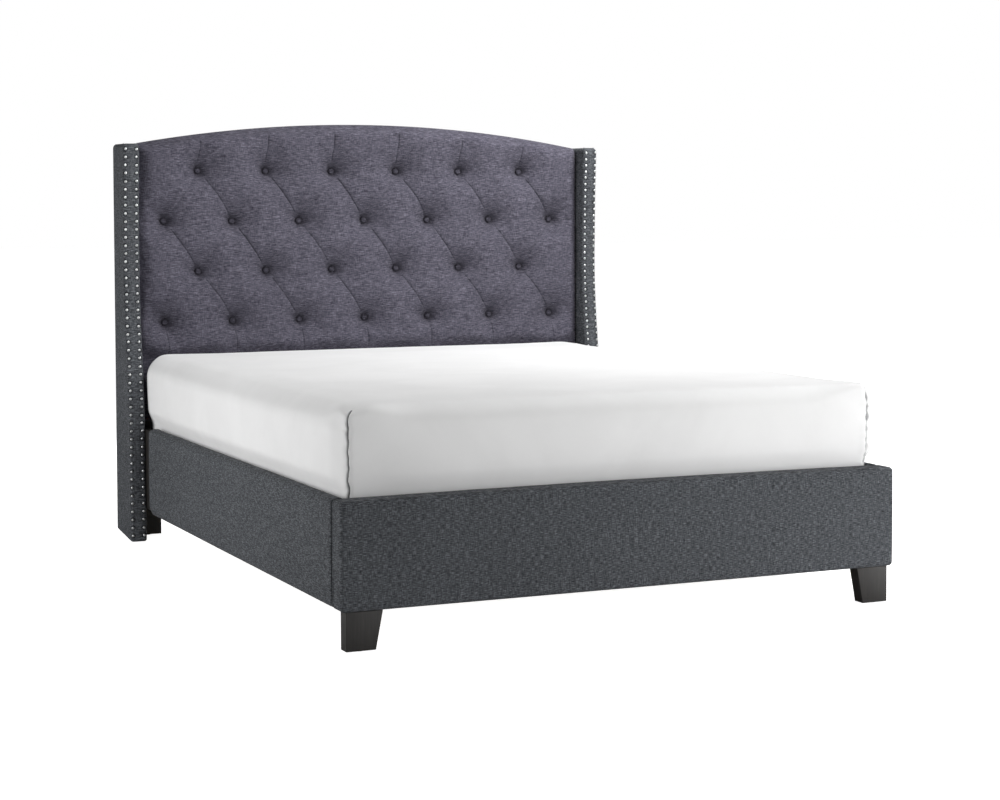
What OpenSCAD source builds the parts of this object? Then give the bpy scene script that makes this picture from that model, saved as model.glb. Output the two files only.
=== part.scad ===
// Upholstered wing bed with a button-tufted headboard.
// Origin on the floor at the centre of the bed; +Y points to the headboard, +X to the right
// of someone standing at the foot end.

/* [Mattress] */
// Width of the mattress
mattress_w = 1530; // [900:10:2000]
// Length of the mattress
mattress_l = 2032; // [1800:4:2200]
// Thickness of the mattress
mattress_h = 300; // [150:5:400]
// Radius of the mattress corners seen from above
mattress_r = 45; // [10:5:90]
// Cloth thickness of the fitted sheet
sheet_t = 3; // [1:0.5:6]
// Width of the sheet's rim under the mattress
sheet_rim = 180; // [60:10:300]
// Gap between the sheet and the side rails
side_gap = 8; // [2:1:30]
// Gap between the sheet and the footboard or headboard
end_gap = 2; // [1:1:20]

/* [Rails and footboard] */
// Height of the lower edges above the floor
floor_gap = 102; // [60:1:200]
// Height of the padded rails and footboard
panel_h = 279; // [200:1:400]
// Thickness of the padded footboard
foot_t = 75; // [60:1:110]
// Padding over the footboard's core
foot_pad = 14; // [5:1:20]
// Thickness of the boards in the side rails
rail_board_t = 22; // [16:1:30]
// Padding outside, above and below the rail boards
rail_pad = 10; // [4:1:20]
// Cloth on the inner side of the rail boards
rail_skin = 2; // [1:0.5:5]
// Radius of the padded outer edges
rail_edge_r = 9; // [3:1:12]
// Gap between the end of a rail's padding and the wing
rail_end_gap = 65; // [20:1:150]

/* [Headboard] */
// Height of the wings above the floor
wing_h = 1310; // [900:5:1600]
// Rise of the arch above the wings
arch_rise = 74; // [20:1:150]
// Thickness of the tufted pad
pad_t = 40; // [30:1:80]
// Thickness of the backing board
backing_t = 12; // [9:1:20]
// Thickness of the headboard's frame
frame_t = 36; // [25:1:60]
// Thickness of the back panel
back_t = 3; // [2:1:10]
// Width of each headboard post
post_w = 88; // [60:1:110]
// Height of the headboard's cross rails
cross_h = 90; // [60:1:120]
// Height of the tufted pad's lower edge above the side rails
pad_drop_gap = 9; // [2:1:60]
// Padding of the arch over the frame
arch_pad = 12; // [5:1:25]
// Clearance between the headboard panel and the wings
panel_gap = 2; // [1:0.5:5]

/* [Tufting] */
// Distance between neighbouring buttons in a row
button_pitch = 234; // [150:1:260]
// Distance between rows
row_pitch = 169; // [120:1:180]
// Distance from the wing tops down to the top row
row_drop = 87; // [60:1:150]
// Smallest distance from a button to the panel's side
button_edge = 80; // [50:5:120]
// Smallest distance from the bottom row to the mattress top
button_clear = 60; // [40:5:120]
// Radius of a button
button_r = 11; // [8:0.5:16]
// Thickness of a button
button_t = 7; // [4:0.5:10]
// Depth of a button's face below the pad's face
button_depth = 25; // [5:1:25]
// Radius of the button's shank
shank_r = 2; // [1:0.5:3]

/* [Wings] */
// Thickness of each padded wing
wing_t = 52; // [40:1:90]
// Depth of the wing at its top
wing_top_d = 155; // [120:1:260]
// Depth of the wing at its waist
wing_waist_d = 139; // [110:1:240]
// Depth of the wing where it has flared out beside the mattress
wing_flare_d = 187; // [140:1:280]
// Depth of the wing at the floor
wing_toe_d = 199; // [150:1:300]
// Distance from the wing's top down to the waist
waist_drop = 410; // [250:5:450]
// Height where the flare ends
flare_z = 370; // [250:5:440]
// Gap between the front of the wing and the floor
wing_floor_gap = 5; // [2:1:30]
// How much higher the wing's lower edge is at the back
wing_back_lift = 19; // [0:1:60]
// Radius of the wing's upper corners
wing_corner_r = 16; // [5:1:40]
// Padding over the wing's core
wing_pad = 11; // [5:1:15]
// Clearance between the wing and the rail board
wing_gap = 1; // [0.5:0.5:5]
// Distance from the wing's outer face to the outer nail column
nail_inset = 6; // [5:0.5:12]
// Distance between the two nail columns
nail_columns = 36; // [20:1:38]
// Distance between nails on the left wing
nail_pitch_left = 26.4; // [15:0.1:40]
// Distance between nails on the right wing
nail_pitch_right = 22.4; // [15:0.1:40]
// Radius of a nail head
nail_r = 4.6; // [3:0.1:8]
// Height of a nail head
nail_h = 2; // [1:0.1:4]
// Gap under a nail head, taken up by the cloth
nail_gap = 0.15; // [0.1:0.05:0.5]
// Distance from the cross rails to the bolts that hold the wings
wing_bolt_gap = 50; // [30:5:80]

/* [Legs] */
// Width of a front leg at its top
leg_top_w = 98; // [60:1:120]
// Width of a front leg at its foot
leg_foot_w = 79; // [40:1:90]
// Depth of a front leg
leg_d = 42; // [30:1:60]
// Distance from the footboard's outer faces to the leg
leg_inset = 15; // [5:1:60]
// Distance from the footboard's front face to the leg
leg_setback = 9; // [0:1:15]
// Thickness of the glides
glide_h = 2; // [1:0.5:8]
// Radius of the glides
glide_r = 12; // [6:1:18]
// Length of the bolt in a front leg
leg_bolt_l = 90; // [50:1:130]

/* [Mattress support] */
// Number of slats
slat_count = 13; // [8:1:14]
// Width of a slat
slat_w = 80; // [50:1:100]
// Thickness of a slat
slat_t = 18; // [12:1:25]
// Distance from the end slats to the footboard and headboard
slat_end_gap = 28; // [10:1:80]
// Clearance between a slat's end and the rail
slat_gap = 6; // [2:1:12]
// Width and height of the slat ledge
ledge_s = 30; // [20:1:45]
// Width of the centre beam
beam_w = 32; // [20:1:60]
// Height of the centre beam
beam_h = 88; // [50:1:110]
// Width of a centre leg
post_leg_w = 45; // [32:1:70]
// Place of the centre legs along the slats, as shares of the mattress length
centre_leg_at = [0.3, 0.7];
// Radius of a levelling foot
level_r = 20; // [12:1:32]
// Thickness of a levelling foot
level_h = 8; // [5:1:15]
// Height of the centre leg's end above the levelling foot
level_gap = 17; // [8:1:30]
// Radius of the levelling screw
level_screw_r = 4; // [3:0.5:8]
// Radial clearance of the levelling screw
level_clearance = 0.05; // [0.02:0.01:0.1]
// Length of the levelling screw
level_screw_l = 42; // [30:1:60]
// Travel of a levelling foot
level_travel = 15; // [5:1:20]

/* [Brackets and bolts] */
// Thickness of the steel plates
steel_t = 3; // [2:0.5:5]
// Length of each bracket wing
bracket_l = 80; // [50:1:110]
// Height of a bracket
bracket_h = 110; // [60:1:120]
// Height of the head bracket that bears on the lower rail
bracket_overlap = 38; // [10:1:55]
// How far the lower rail reaches below the centre beam
beam_seat = 5; // [0:1:20]
// Radius of a bolt
bolt_r = 4; // [3:0.5:5]
// Radius of a bolt head
bolt_head_r = 7; // [5:0.5:10]
// Height of a bolt head
bolt_head_h = 4; // [3:0.5:7]
// Radial clearance of bolts and screws in their holes
bolt_clearance = 0.2; // [0.1:0.1:1]
// Radius of a screw
screw_r = 2; // [1.5:0.5:3]
// Radius of a screw head
screw_head_r = 4; // [3:0.5:6]
// Number of screws in a ledge
ledge_screws_n = 6; // [4:1:8]

/* [Hidden] */

left = -1;
right = 1;
eps = 0.01;          // cuts run this far past a face
arc_steps = 24;      // points along the arch
side_steps = 24;     // points down the front of a wing

// widths, measured from the bed's middle
sheet_x = mattress_w / 2 + sheet_t;
rail_in_x = sheet_x + side_gap;
board_in_x = rail_in_x + rail_skin;
board_out_x = board_in_x + rail_board_t;
rail_out_x = board_out_x + rail_pad;
wing_in_x = board_out_x + wing_gap;
wing_out_x = wing_in_x + wing_t;
panel_x = wing_in_x - panel_gap;
post_in_x = wing_in_x - post_w;

// lengths, from the front of the footboard to the back of the headboard
bed_l = foot_t + 2 * (end_gap + sheet_t) + mattress_l + pad_t + backing_t + frame_t + back_t;
foot_y = -bed_l / 2;
foot_back_y = foot_y + foot_t;
sheet_y = foot_back_y + end_gap;
mattress_y = sheet_y + sheet_t;
pad_y = mattress_y + mattress_l + sheet_t + end_gap;
backing_y = pad_y + pad_t;
frame_y = backing_y + backing_t;
frame_back_y = frame_y + frame_t;

// heights
panel_top = floor_gap + panel_h;
slat_top = panel_top - 74;
slat_z = slat_top - slat_t;
mattress_z = slat_top + sheet_t;
pad_z = panel_top + pad_drop_gap;
beam_z = slat_z - beam_h;
row_z = wing_h - row_drop;
sheet_top = mattress_z + mattress_h + sheet_t;
waist_z = wing_h - waist_drop;

// arch: circle through the wing tops and the crown
arch_r = (panel_x * panel_x + arch_rise * arch_rise) / (2 * arch_rise);
function arch_z(x) = wing_h + arch_rise - arch_r + sqrt(arch_r * arch_r - x * x);
function arch_line(half, drop) =
  [for (i = [0:arc_steps]) let (x = half - 2 * half * i / arc_steps) [x, arch_z(x) - drop]];

// wing: depth from the back at each height
function ease(t) = t <= 0 ? 0 : t >= 1 ? 1 : (1 - cos(180 * t)) / 2;
function wing_depth(z) =
  z >= waist_z
    ? wing_waist_d + (wing_top_d - wing_waist_d) * pow((z - waist_z) / (wing_h - waist_z), 2)
    : z >= flare_z
      ? wing_waist_d + (wing_flare_d - wing_waist_d) * ease((waist_z - z) / (waist_z - flare_z))
      : wing_flare_d + (wing_toe_d - wing_flare_d) * (flare_z - z) / flare_z;
// the wing's front is drawn with straight steps; a nail lies on the step at its height
wing_step = (wing_h - wing_corner_r - wing_floor_gap) / side_steps;
function step_z(i) = wing_floor_gap + i * wing_step;
function step_at(z) = floor((z - wing_floor_gap) / wing_step);
function face_depth(z) =
  let (i = min(step_at(z), side_steps - 1), t = (z - step_z(i)) / wing_step)
    wing_depth(step_z(i)) * (1 - t) + wing_depth(step_z(i + 1)) * t;
// slope of the wing's front face, in degrees from upright
function wing_lean(z) = atan((face_depth(z - nail_r) - face_depth(z + nail_r)) / (2 * nail_r));

slat_pitch = (mattress_l - 2 * slat_end_gap - slat_w) / (slat_count - 1);
function slat_y(i) = mattress_y + slat_end_gap + slat_w / 2 + i * slat_pitch;
slat_x = rail_in_x - slat_gap;
screw_x = rail_in_x - ledge_s / 2;
rail_cover_end = frame_back_y - wing_toe_d - rail_end_gap;

// every other row has one button less, so the buttons stand in diamonds
row_count = floor((row_z - sheet_top - button_clear) / row_pitch) + 1;
long_row = floor(2 * (panel_x - button_edge) / button_pitch) + 1;
row_list = [for (r = [0:row_count - 1]) r];
function row_n(r) = long_row - 1 + r % 2;
function button_x(r, i) = (i - (row_n(r) - 1) / 2) * button_pitch;
button_spots = [for (r = row_list) for (i = [0:row_n(r) - 1]) [button_x(r, i), row_z - r * row_pitch]];

level_top = level_h + level_gap;
function centre_leg_y(i) = mattress_y + centre_leg_at[i] * mattress_l;
bracket_z = floor_gap + 22;
bolt_rows = [bracket_z + 25, bracket_z + bracket_h - 25];
leg_x = rail_out_x - leg_inset;
leg_y = foot_y + leg_setback;
leg_bolt_x = leg_x - leg_top_w / 2;
leg_bolt_y = leg_y + leg_d / 2;
leg_bolt_z = floor_gap - 50;
lower_rail_top = panel_top + 20;
lower_rail_z = min(beam_z - beam_seat, bracket_z + bracket_h - bracket_overlap);
middle_rail_z = row_z - (row_count - 1.5) * row_pitch;
wing_bolt_z = [
  lower_rail_top + wing_bolt_gap,
  middle_rail_z - cross_h / 2 - wing_bolt_gap,
  middle_rail_z + cross_h / 2 + 4 * wing_bolt_gap];
wing_bolt_y = frame_y + frame_t / 2;

module side(s) {
  mirror([s < 0 ? 1 : 0, 0, 0]) children();
}

module along_y(y0, y1) {
  translate([0, y1, 0])
    rotate([90, 0, 0])
      linear_extrude(height = y1 - y0) children();
}

module rounded_plan(w, l, r) {
  square([w - 2 * r, l], center = true);
  square([w, l - 2 * r], center = true);
  for (x = [-1, 1])
    for (y = [-1, 1])
      translate([x * (w / 2 - r), y * (l / 2 - r)])
        circle(r = r, $fn = 48);
}

// ---- headboard ----

module headboard_post(s) {
  color("#2b2522")
    side(s)
      difference() {
        translate([post_in_x, frame_y, glide_h])
          cube([post_w, frame_t, wing_h - row_drop + 22 - glide_h]);
        for (z = bolt_rows)
          bracket_bolt_hole_y(z, frame_y - eps, frame_y + 30);
        for (z = wing_bolt_z)
          translate([post_in_x - eps, wing_bolt_y, z])
            rotate([0, 90, 0])
              cylinder(r = bolt_r + bolt_clearance, h = post_w + 2 * eps, $fn = 32);
      }
}

module headboard_top_rail() {
  bottom = wing_h - row_drop + 22;
  color("#b08d5f")
    along_y(frame_y, frame_back_y)
      polygon(concat([[-panel_x, bottom], [panel_x, bottom]], arch_line(panel_x, arch_pad)));
}

module cross_rail(z, h) {
  color("#b08d5f")
    translate([-post_in_x, frame_y, z])
      cube([2 * post_in_x, frame_t, h]);
}

module headboard_middle_rail() {
  cross_rail(middle_rail_z - cross_h / 2, cross_h);
}

module headboard_lower_rail() {
  cross_rail(lower_rail_z, lower_rail_top - lower_rail_z);
}

module backing_board() {
  color("#c2a878")
    difference() {
      along_y(backing_y, frame_y)
        polygon(concat([[-panel_x, pad_z], [panel_x, pad_z]], arch_line(panel_x, arch_pad)));
      button_holes(backing_y - eps, frame_y + eps);
    }
}

module tufted_pad() {
  color("#5a5866")
    difference() {
      union() {
        along_y(pad_y, backing_y)
          polygon(concat([[-panel_x, pad_z], [panel_x, pad_z]], arch_line(panel_x, 0)));
        along_y(backing_y - 1, frame_back_y)
          polygon(concat(arch_line(panel_x, 0),
            [for (i = [arc_steps:-1:0]) arch_line(panel_x, arch_pad)[i]]));
      }
      button_pockets();
      button_holes(pad_y, backing_y + eps);
    }
}

module button_holes(y0, y1) {
  for (p = button_spots)
    translate([p[0], y1, p[1]])
      rotate([90, 0, 0])
        cylinder(r = shank_r + bolt_clearance, h = y1 - y0, $fn = 16);
}

// Pockets in which the buttons sit; twelve flat sides leave the pad's cloth to fold
module button_pockets() {
  depth = button_depth + button_t + 1;
  for (p = button_spots)
    translate([p[0], pad_y + depth, p[1]])
      rotate([90, 0, 0])
        cylinder(r = button_r + 3, h = depth + eps, $fn = 12);
}

module tuft_buttons() {
  face_y = pad_y + button_depth;
  color("#4d4b58")
    for (p = button_spots) {
      translate([p[0], face_y + button_t, p[1]])
        rotate([90, 0, 0])
          cylinder(r = button_r, h = button_t, $fn = 32);
      translate([p[0], frame_y + 4, p[1]])
        rotate([90, 0, 0])
          cylinder(r = shank_r, h = frame_y + 4 - face_y - button_t, $fn = 16);
    }
}

module button_washers() {
  color("silver")
    for (p = button_spots)
      translate([p[0], frame_y + 1.5, p[1]])
        rotate([90, 0, 0])
          difference() {
            cylinder(r = 8, h = 1.5, $fn = 32);
            translate([0, 0, -eps])
              cylinder(r = shank_r + bolt_clearance, h = 2, $fn = 16);
          }
}

module back_panel() {
  color("#26262a")
    along_y(frame_back_y, frame_back_y + back_t)
      polygon(concat([[-wing_out_x + 4, 160], [wing_out_x - 4, 160], [wing_out_x - 4, wing_h - 6]],
        arch_line(panel_x, 5), [[-wing_out_x + 4, wing_h - 6]]));
}

// ---- wings ----

// Side outline as [depth, height], grown inwards by the padding
module wing_outline(pad) {
  top = wing_h - pad;
  r = max(wing_corner_r - pad, 2);
  low = wing_floor_gap + pad;
  steps = [for (i = [0:side_steps]) low + (top - r - low) * i / side_steps];
  union() {
    polygon(concat(
      [[0, low + wing_back_lift]],
      [for (z = steps) [wing_depth(z) - pad, z]],
      [[0, top - r]]));
    translate([r, top - r - eps])
      square([wing_depth(top - r) - pad - 2 * r, r + eps]);
    translate([wing_depth(top - r) - pad - r, top - r])
      circle(r = r, $fn = 48);
    translate([0, top - r - eps])
      square([r + eps, r + eps]);
  }
}

module wing_solid(pad, x0, x1) {
  translate([x0, frame_back_y, 0])
    rotate([90, 0, -90])
      translate([0, 0, x0 - x1])
        linear_extrude(height = x1 - x0)
          wing_outline(pad);
}

module wing_core(s) {
  color("#b08d5f")
    side(s)
      difference() {
        wing_solid(wing_pad, wing_in_x + wing_pad, wing_out_x - wing_pad);
        wing_bolt_holes();
      }
}

module wing_cover(s) {
  color("#55585a")
    side(s)
      difference() {
        wing_solid(0, wing_in_x, wing_out_x);
        wing_solid(wing_pad, wing_in_x + wing_pad, wing_out_x - wing_pad);
        wing_bolt_holes();
      }
}

module wing_bolt_holes() {
  for (z = wing_bolt_z)
    translate([wing_in_x - eps, wing_bolt_y, z])
      rotate([0, 90, 0])
        cylinder(r = bolt_r + bolt_clearance, h = wing_t - wing_pad + eps, $fn = 32);
}

module wing_bolts() {
  color("#3a3a3c")
    for (s = [left, right])
      side(s)
        for (z = wing_bolt_z)
          translate([post_in_x - bolt_head_h, wing_bolt_y, z])
            rotate([0, 90, 0]) {
              cylinder(r = bolt_head_r, h = bolt_head_h, $fn = 32);
              cylinder(r = bolt_r, h = bolt_head_h + post_w + wing_t - wing_pad - 1, $fn = 32);
            }
}

module nail_head() {
  cylinder(r = nail_r, h = nail_h * 0.6, $fn = 24);
  cylinder(r = nail_r * 0.7, h = nail_h, $fn = 24);
}

module nailheads(s, pitch) {
  count = floor((wing_h - wing_corner_r - wing_floor_gap - 12) / pitch) + 1;
  top = wing_h - wing_corner_r - 2;
  color("#c9ccd0")
    side(s)
      for (x = [wing_out_x - nail_inset, wing_out_x - nail_inset - nail_columns]) {
        for (i = [0:count - 1])
          let (z = top - i * pitch)
            translate([x, frame_back_y - face_depth(z) - nail_gap, z])
              rotate([90 - wing_lean(z), 0, 0])
                nail_head();
        translate([x, frame_back_y - wing_depth(wing_h) + wing_corner_r + 6, wing_h + nail_gap])
          nail_head();
      }
}

// ---- side rails ----

module rail_board(s) {
  color("#33291f")
    side(s)
      difference() {
        translate([board_in_x, foot_back_y, floor_gap + rail_pad])
          cube([rail_board_t, frame_y - foot_back_y, panel_h - 2 * rail_pad]);
        rail_bolt_holes();
        ledge_screw_holes(board_out_x - 6);
      }
}

module rail_cover(s) {
  r = rail_edge_r;
  color("#55585a")
    side(s)
      difference() {
        along_y(foot_back_y + 0.3, rail_cover_end)
          union() {
            translate([rail_in_x, floor_gap])
              square([rail_out_x - rail_in_x - r, panel_h]);
            translate([rail_in_x, floor_gap + r])
              square([rail_out_x - rail_in_x, panel_h - 2 * r]);
            for (z = [floor_gap + r, panel_top - r])
              translate([rail_out_x - r, z])
                circle(r = r, $fn = 48);
          }
        translate([board_in_x, foot_back_y - eps, floor_gap + rail_pad])
          cube([rail_board_t, rail_cover_end - foot_back_y + 1, panel_h - 2 * rail_pad]);
        rail_bolt_holes();
        ledge_screw_holes(board_in_x + eps);
      }
}

module slat_ledge(s) {
  color("#b08d5f")
    side(s)
      difference() {
        translate([rail_in_x - ledge_s, foot_back_y + 3, slat_z - ledge_s])
          cube([ledge_s, pad_y - foot_back_y - 6, ledge_s]);
        ledge_screw_holes(rail_in_x + eps);
        for (i = [0:slat_count - 1])
          translate([screw_x, slat_y(i), slat_z - 22])
            cylinder(r = screw_r + bolt_clearance, h = 22 + eps, $fn = 24);
      }
}

function ledge_screw_y(i) =
  foot_back_y + 110 + i * (rail_cover_end - foot_back_y - 220) / (ledge_screws_n - 1);

module ledge_screw_holes(x1) {
  for (i = [0:ledge_screws_n - 1])
    translate([rail_in_x - ledge_s - eps, ledge_screw_y(i), slat_z - ledge_s / 2])
      rotate([0, 90, 0])
        cylinder(r = screw_r + bolt_clearance, h = x1 - rail_in_x + ledge_s + eps, $fn = 24);
}

module ledge_screws() {
  x0 = rail_in_x - ledge_s - 1.5;
  color("#8a8c90")
    for (s = [left, right])
      side(s)
        for (i = [0:ledge_screws_n - 1])
          translate([x0, ledge_screw_y(i), slat_z - ledge_s / 2])
            rotate([0, 90, 0]) {
              cylinder(r = screw_head_r, h = 1.5, $fn = 24);
              cylinder(r = screw_r, h = board_out_x - 8 - x0, $fn = 24);
            }
}

// ---- footboard ----

module footboard_core() {
  color("#b08d5f")
    difference() {
      footboard_block(foot_pad, rail_skin);
      foot_bolt_holes();
      leg_bolt_holes();
    }
}

module footboard_block(pad, skin) {
  translate([-rail_out_x + pad, foot_y + pad, floor_gap + pad])
    cube([2 * (rail_out_x - pad), foot_t - pad - skin, panel_h - 2 * pad]);
}

module footboard_cover() {
  r = rail_edge_r + 3;
  color("#55585a")
    difference() {
      translate([-rail_out_x, 0, 0])
        rotate([90, 0, 90])
          linear_extrude(height = 2 * rail_out_x)
            union() {
              translate([foot_y + r, floor_gap])
                square([foot_t - 2 * r, panel_h]);
              translate([foot_y, floor_gap + r])
                square([foot_t, panel_h - 2 * r]);
              for (y = [foot_y + r, foot_back_y - r])
                for (z = [floor_gap + r, panel_top - r])
                  translate([y, z])
                    circle(r = r, $fn = 48);
            }
      footboard_block(foot_pad, rail_skin);
      foot_bolt_holes();
      leg_bolt_holes();
    }
}

// ---- brackets and bolts ----

// Bolt through a bracket into the rail board, along X
module bracket_bolt_hole_x(y, z) {
  translate([board_in_x - rail_skin - steel_t - eps, y, z])
    rotate([0, 90, 0])
      cylinder(r = bolt_r + bolt_clearance, h = rail_skin + steel_t + rail_board_t - 3, $fn = 32);
}

// Bolt through a bracket into the post or footboard, along Y
module bracket_bolt_hole_y(z, y0, y1) {
  translate([bracket_bolt_x, y1, z])
    rotate([90, 0, 0])
      cylinder(r = bolt_r + bolt_clearance, h = y1 - y0, $fn = 32);
}

bracket_bolt_x = rail_in_x - bracket_l * 0.5;
foot_bolt_y = foot_back_y + bracket_l * 0.6;
head_bolt_y = frame_y - bracket_l * 0.6;

module rail_bolt_holes() {
  for (z = bolt_rows) {
    bracket_bolt_hole_x(foot_bolt_y, z);
    bracket_bolt_hole_x(head_bolt_y, z);
  }
}

module foot_bolt_holes() {
  for (s = [left, right])
    side(s)
      for (z = bolt_rows)
        bracket_bolt_hole_y(z, foot_back_y - 40, foot_back_y + eps);
}

module foot_bracket(s) {
  color("#1f1f21")
    side(s)
      difference() {
        union() {
          translate([rail_in_x - steel_t, foot_back_y, bracket_z])
            cube([steel_t, bracket_l, bracket_h]);
          translate([rail_in_x - bracket_l, foot_back_y, bracket_z])
            cube([bracket_l, steel_t, bracket_h]);
        }
        for (z = bolt_rows) {
          bracket_bolt_hole_x(foot_bolt_y, z);
          bracket_bolt_hole_y(z, foot_back_y - eps, foot_back_y + steel_t + eps);
        }
      }
}

module head_bracket(s) {
  color("#1f1f21")
    side(s)
      difference() {
        union() {
          translate([board_in_x - steel_t, frame_y - bracket_l, bracket_z])
            cube([steel_t, bracket_l, bracket_h]);
          translate([rail_in_x - bracket_l, frame_y - steel_t, bracket_z])
            cube([board_in_x - rail_in_x + bracket_l, steel_t, bracket_h]);
        }
        for (z = bolt_rows) {
          bracket_bolt_hole_x(head_bolt_y, z);
          bracket_bolt_hole_y(z, frame_y - steel_t - eps, frame_y + eps);
        }
      }
}

module bolt(l) {
  cylinder(r = bolt_head_r, h = bolt_head_h, $fn = 32);
  cylinder(r = bolt_r, h = bolt_head_h + l, $fn = 32);
}

module bracket_bolts() {
  color("#6d6f73")
    for (s = [left, right])
      side(s)
        for (z = bolt_rows) {
          translate([rail_in_x - steel_t - bolt_head_h, foot_bolt_y, z])
            rotate([0, 90, 0])
              bolt(steel_t + rail_skin + rail_board_t - 6);
          translate([board_in_x - steel_t - bolt_head_h, head_bolt_y, z])
            rotate([0, 90, 0])
              bolt(steel_t + rail_board_t - 8);
          translate([bracket_bolt_x, foot_back_y + steel_t + bolt_head_h, z])
            rotate([90, 0, 0])
              bolt(steel_t + 34);
          translate([bracket_bolt_x, frame_y - steel_t - bolt_head_h, z])
            rotate([-90, 0, 0])
              bolt(steel_t + 24);
        }
}

// ---- legs ----

module front_leg(s) {
  color("#1c1917")
    side(s)
      difference() {
        along_y(leg_y, leg_y + leg_d)
          polygon([
            [leg_x, glide_h],
            [leg_x, floor_gap],
            [leg_x - leg_top_w, floor_gap],
            [leg_x - leg_foot_w, glide_h]]);
        leg_bolt_hole();
      }
}

module leg_bolt_hole() {
  translate([leg_bolt_x, leg_bolt_y, leg_bolt_z])
    cylinder(r = bolt_r + bolt_clearance, h = leg_bolt_l + 1, $fn = 32);
}

module leg_bolt_holes() {
  for (s = [left, right])
    side(s)
      leg_bolt_hole();
}

module leg_bolts() {
  color("#6d6f73")
    for (s = [left, right])
      side(s)
        translate([leg_bolt_x, leg_bolt_y, leg_bolt_z])
          cylinder(r = bolt_r, h = leg_bolt_l, $fn = 32);
}

module leg_glides() {
  color("#2a2a2c")
    for (s = [left, right])
      side(s) {
        translate([leg_x - leg_foot_w / 2, leg_bolt_y, 0])
          cylinder(r = glide_r, h = glide_h, $fn = 32);
        translate([post_in_x + post_w / 2, frame_y + frame_t / 2, 0])
          cylinder(r = glide_r, h = glide_h, $fn = 32);
      }
}

// ---- mattress support ----

module slat(i) {
  color("#c9ab7c")
    difference() {
      translate([-slat_x, slat_y(i) - slat_w / 2, slat_z])
        cube([2 * slat_x, slat_w, slat_t]);
      for (s = [left, right])
        side(s)
          translate([screw_x, slat_y(i), slat_z - eps]) {
            cylinder(r = screw_r + bolt_clearance, h = slat_t + 2 * eps, $fn = 24);
            translate([0, 0, slat_t - 2])
              cylinder(r = screw_head_r + bolt_clearance, h = 3, $fn = 24);
          }
    }
}

module slat_screws() {
  color("#8a8c90")
    for (s = [left, right])
      side(s)
        for (i = [0:slat_count - 1])
          translate([screw_x, slat_y(i), slat_z - 20]) {
            cylinder(r = screw_r, h = 20 + slat_t - 1, $fn = 24);
            translate([0, 0, 20 + slat_t - 1.9])
              cylinder(r = screw_head_r, h = 1.6, $fn = 24);
          }
}

module centre_beam() {
  color("#b08d5f")
    translate([-beam_w / 2, foot_back_y + steel_t, beam_z])
      cube([beam_w, frame_y - foot_back_y - 2 * steel_t, beam_h]);
}

// U-shaped steel hanger with its back plate at y = 0, opening towards +Y
module beam_hanger() {
  gap = 0.3;
  inner = beam_w / 2 + gap;
  translate([-inner - steel_t, 0, beam_z - gap - steel_t])
    cube([2 * (inner + steel_t), steel_t - gap, beam_h * 0.8]);
  translate([-inner - steel_t, 0, beam_z - gap - steel_t])
    cube([2 * (inner + steel_t), 50, steel_t]);
  for (x = [-inner - steel_t, inner])
    translate([x, 0, beam_z - gap - steel_t])
      cube([steel_t, 50, beam_h * 0.8]);
}

module beam_hanger_foot() {
  color("#1f1f21")
    translate([0, foot_back_y, 0])
      beam_hanger();
}

module beam_hanger_head() {
  color("#1f1f21")
    translate([0, frame_y, 0])
      mirror([0, 1, 0])
        beam_hanger();
}

module centre_leg(i) {
  color("#1c1917")
    translate([0, centre_leg_y(i), level_top])
      difference() {
        translate([-post_leg_w / 2, -post_leg_w / 2, 0])
          cube([post_leg_w, post_leg_w, beam_z - level_top]);
        translate([0, 0, -eps])
          cylinder(r = level_screw_r + level_clearance,
            h = level_screw_l - level_gap + level_travel + 5, $fn = 48);
      }
}

module levelling_foot(i) {
  color("#2a2a2c")
    translate([0, centre_leg_y(i), 0]) {
      cylinder(r = level_r, h = level_h, $fn = 48);
      translate([0, 0, level_h - eps])
        cylinder(r = level_screw_r, h = level_screw_l + eps, $fn = 48);
    }
}

// ---- bedding ----

module mattress() {
  color("#f0efec")
    translate([0, mattress_y + mattress_l / 2, mattress_z])
      linear_extrude(height = mattress_h)
        rounded_plan(mattress_w, mattress_l, mattress_r);
}

module fitted_sheet() {
  color("white")
    translate([0, mattress_y + mattress_l / 2, mattress_z - sheet_t])
      difference() {
        linear_extrude(height = mattress_h + 2 * sheet_t)
          rounded_plan(sheet_x * 2, mattress_l + 2 * sheet_t, mattress_r + sheet_t);
        translate([0, 0, sheet_t])
          linear_extrude(height = mattress_h)
            rounded_plan(mattress_w, mattress_l, mattress_r);
        translate([0, 0, -eps])
          linear_extrude(height = sheet_t + 2 * eps)
            rounded_plan(mattress_w - 2 * sheet_rim, mattress_l - 2 * sheet_rim, mattress_r);
      }
}

headboard_post(left);  // headboard_post_left
headboard_post(right);  // headboard_post_right
headboard_top_rail();
headboard_middle_rail();
headboard_lower_rail();
backing_board();
tufted_pad();
tuft_buttons();
button_washers();
back_panel();
wing_core(left);  // wing_core_left
wing_core(right);  // wing_core_right
wing_cover(left);  // wing_cover_left
wing_cover(right);  // wing_cover_right
nailheads(left, nail_pitch_left);  // nailheads_left
nailheads(right, nail_pitch_right);  // nailheads_right
wing_bolts();
rail_board(left);  // rail_board_left
rail_board(right);  // rail_board_right
rail_cover(left);  // rail_cover_left
rail_cover(right);  // rail_cover_right
slat_ledge(left);  // slat_ledge_left
slat_ledge(right);  // slat_ledge_right
ledge_screws();
footboard_core();
footboard_cover();
foot_bracket(left);  // foot_bracket_left
foot_bracket(right);  // foot_bracket_right
head_bracket(left);  // head_bracket_left
head_bracket(right);  // head_bracket_right
bracket_bolts();
front_leg(left);  // front_leg_left
front_leg(right);  // front_leg_right
leg_bolts();
leg_glides();
centre_beam();
beam_hanger_foot();
beam_hanger_head();
centre_leg(0);  // centre_leg_front
centre_leg(1);  // centre_leg_back
levelling_foot(0);  // levelling_foot_front
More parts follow.
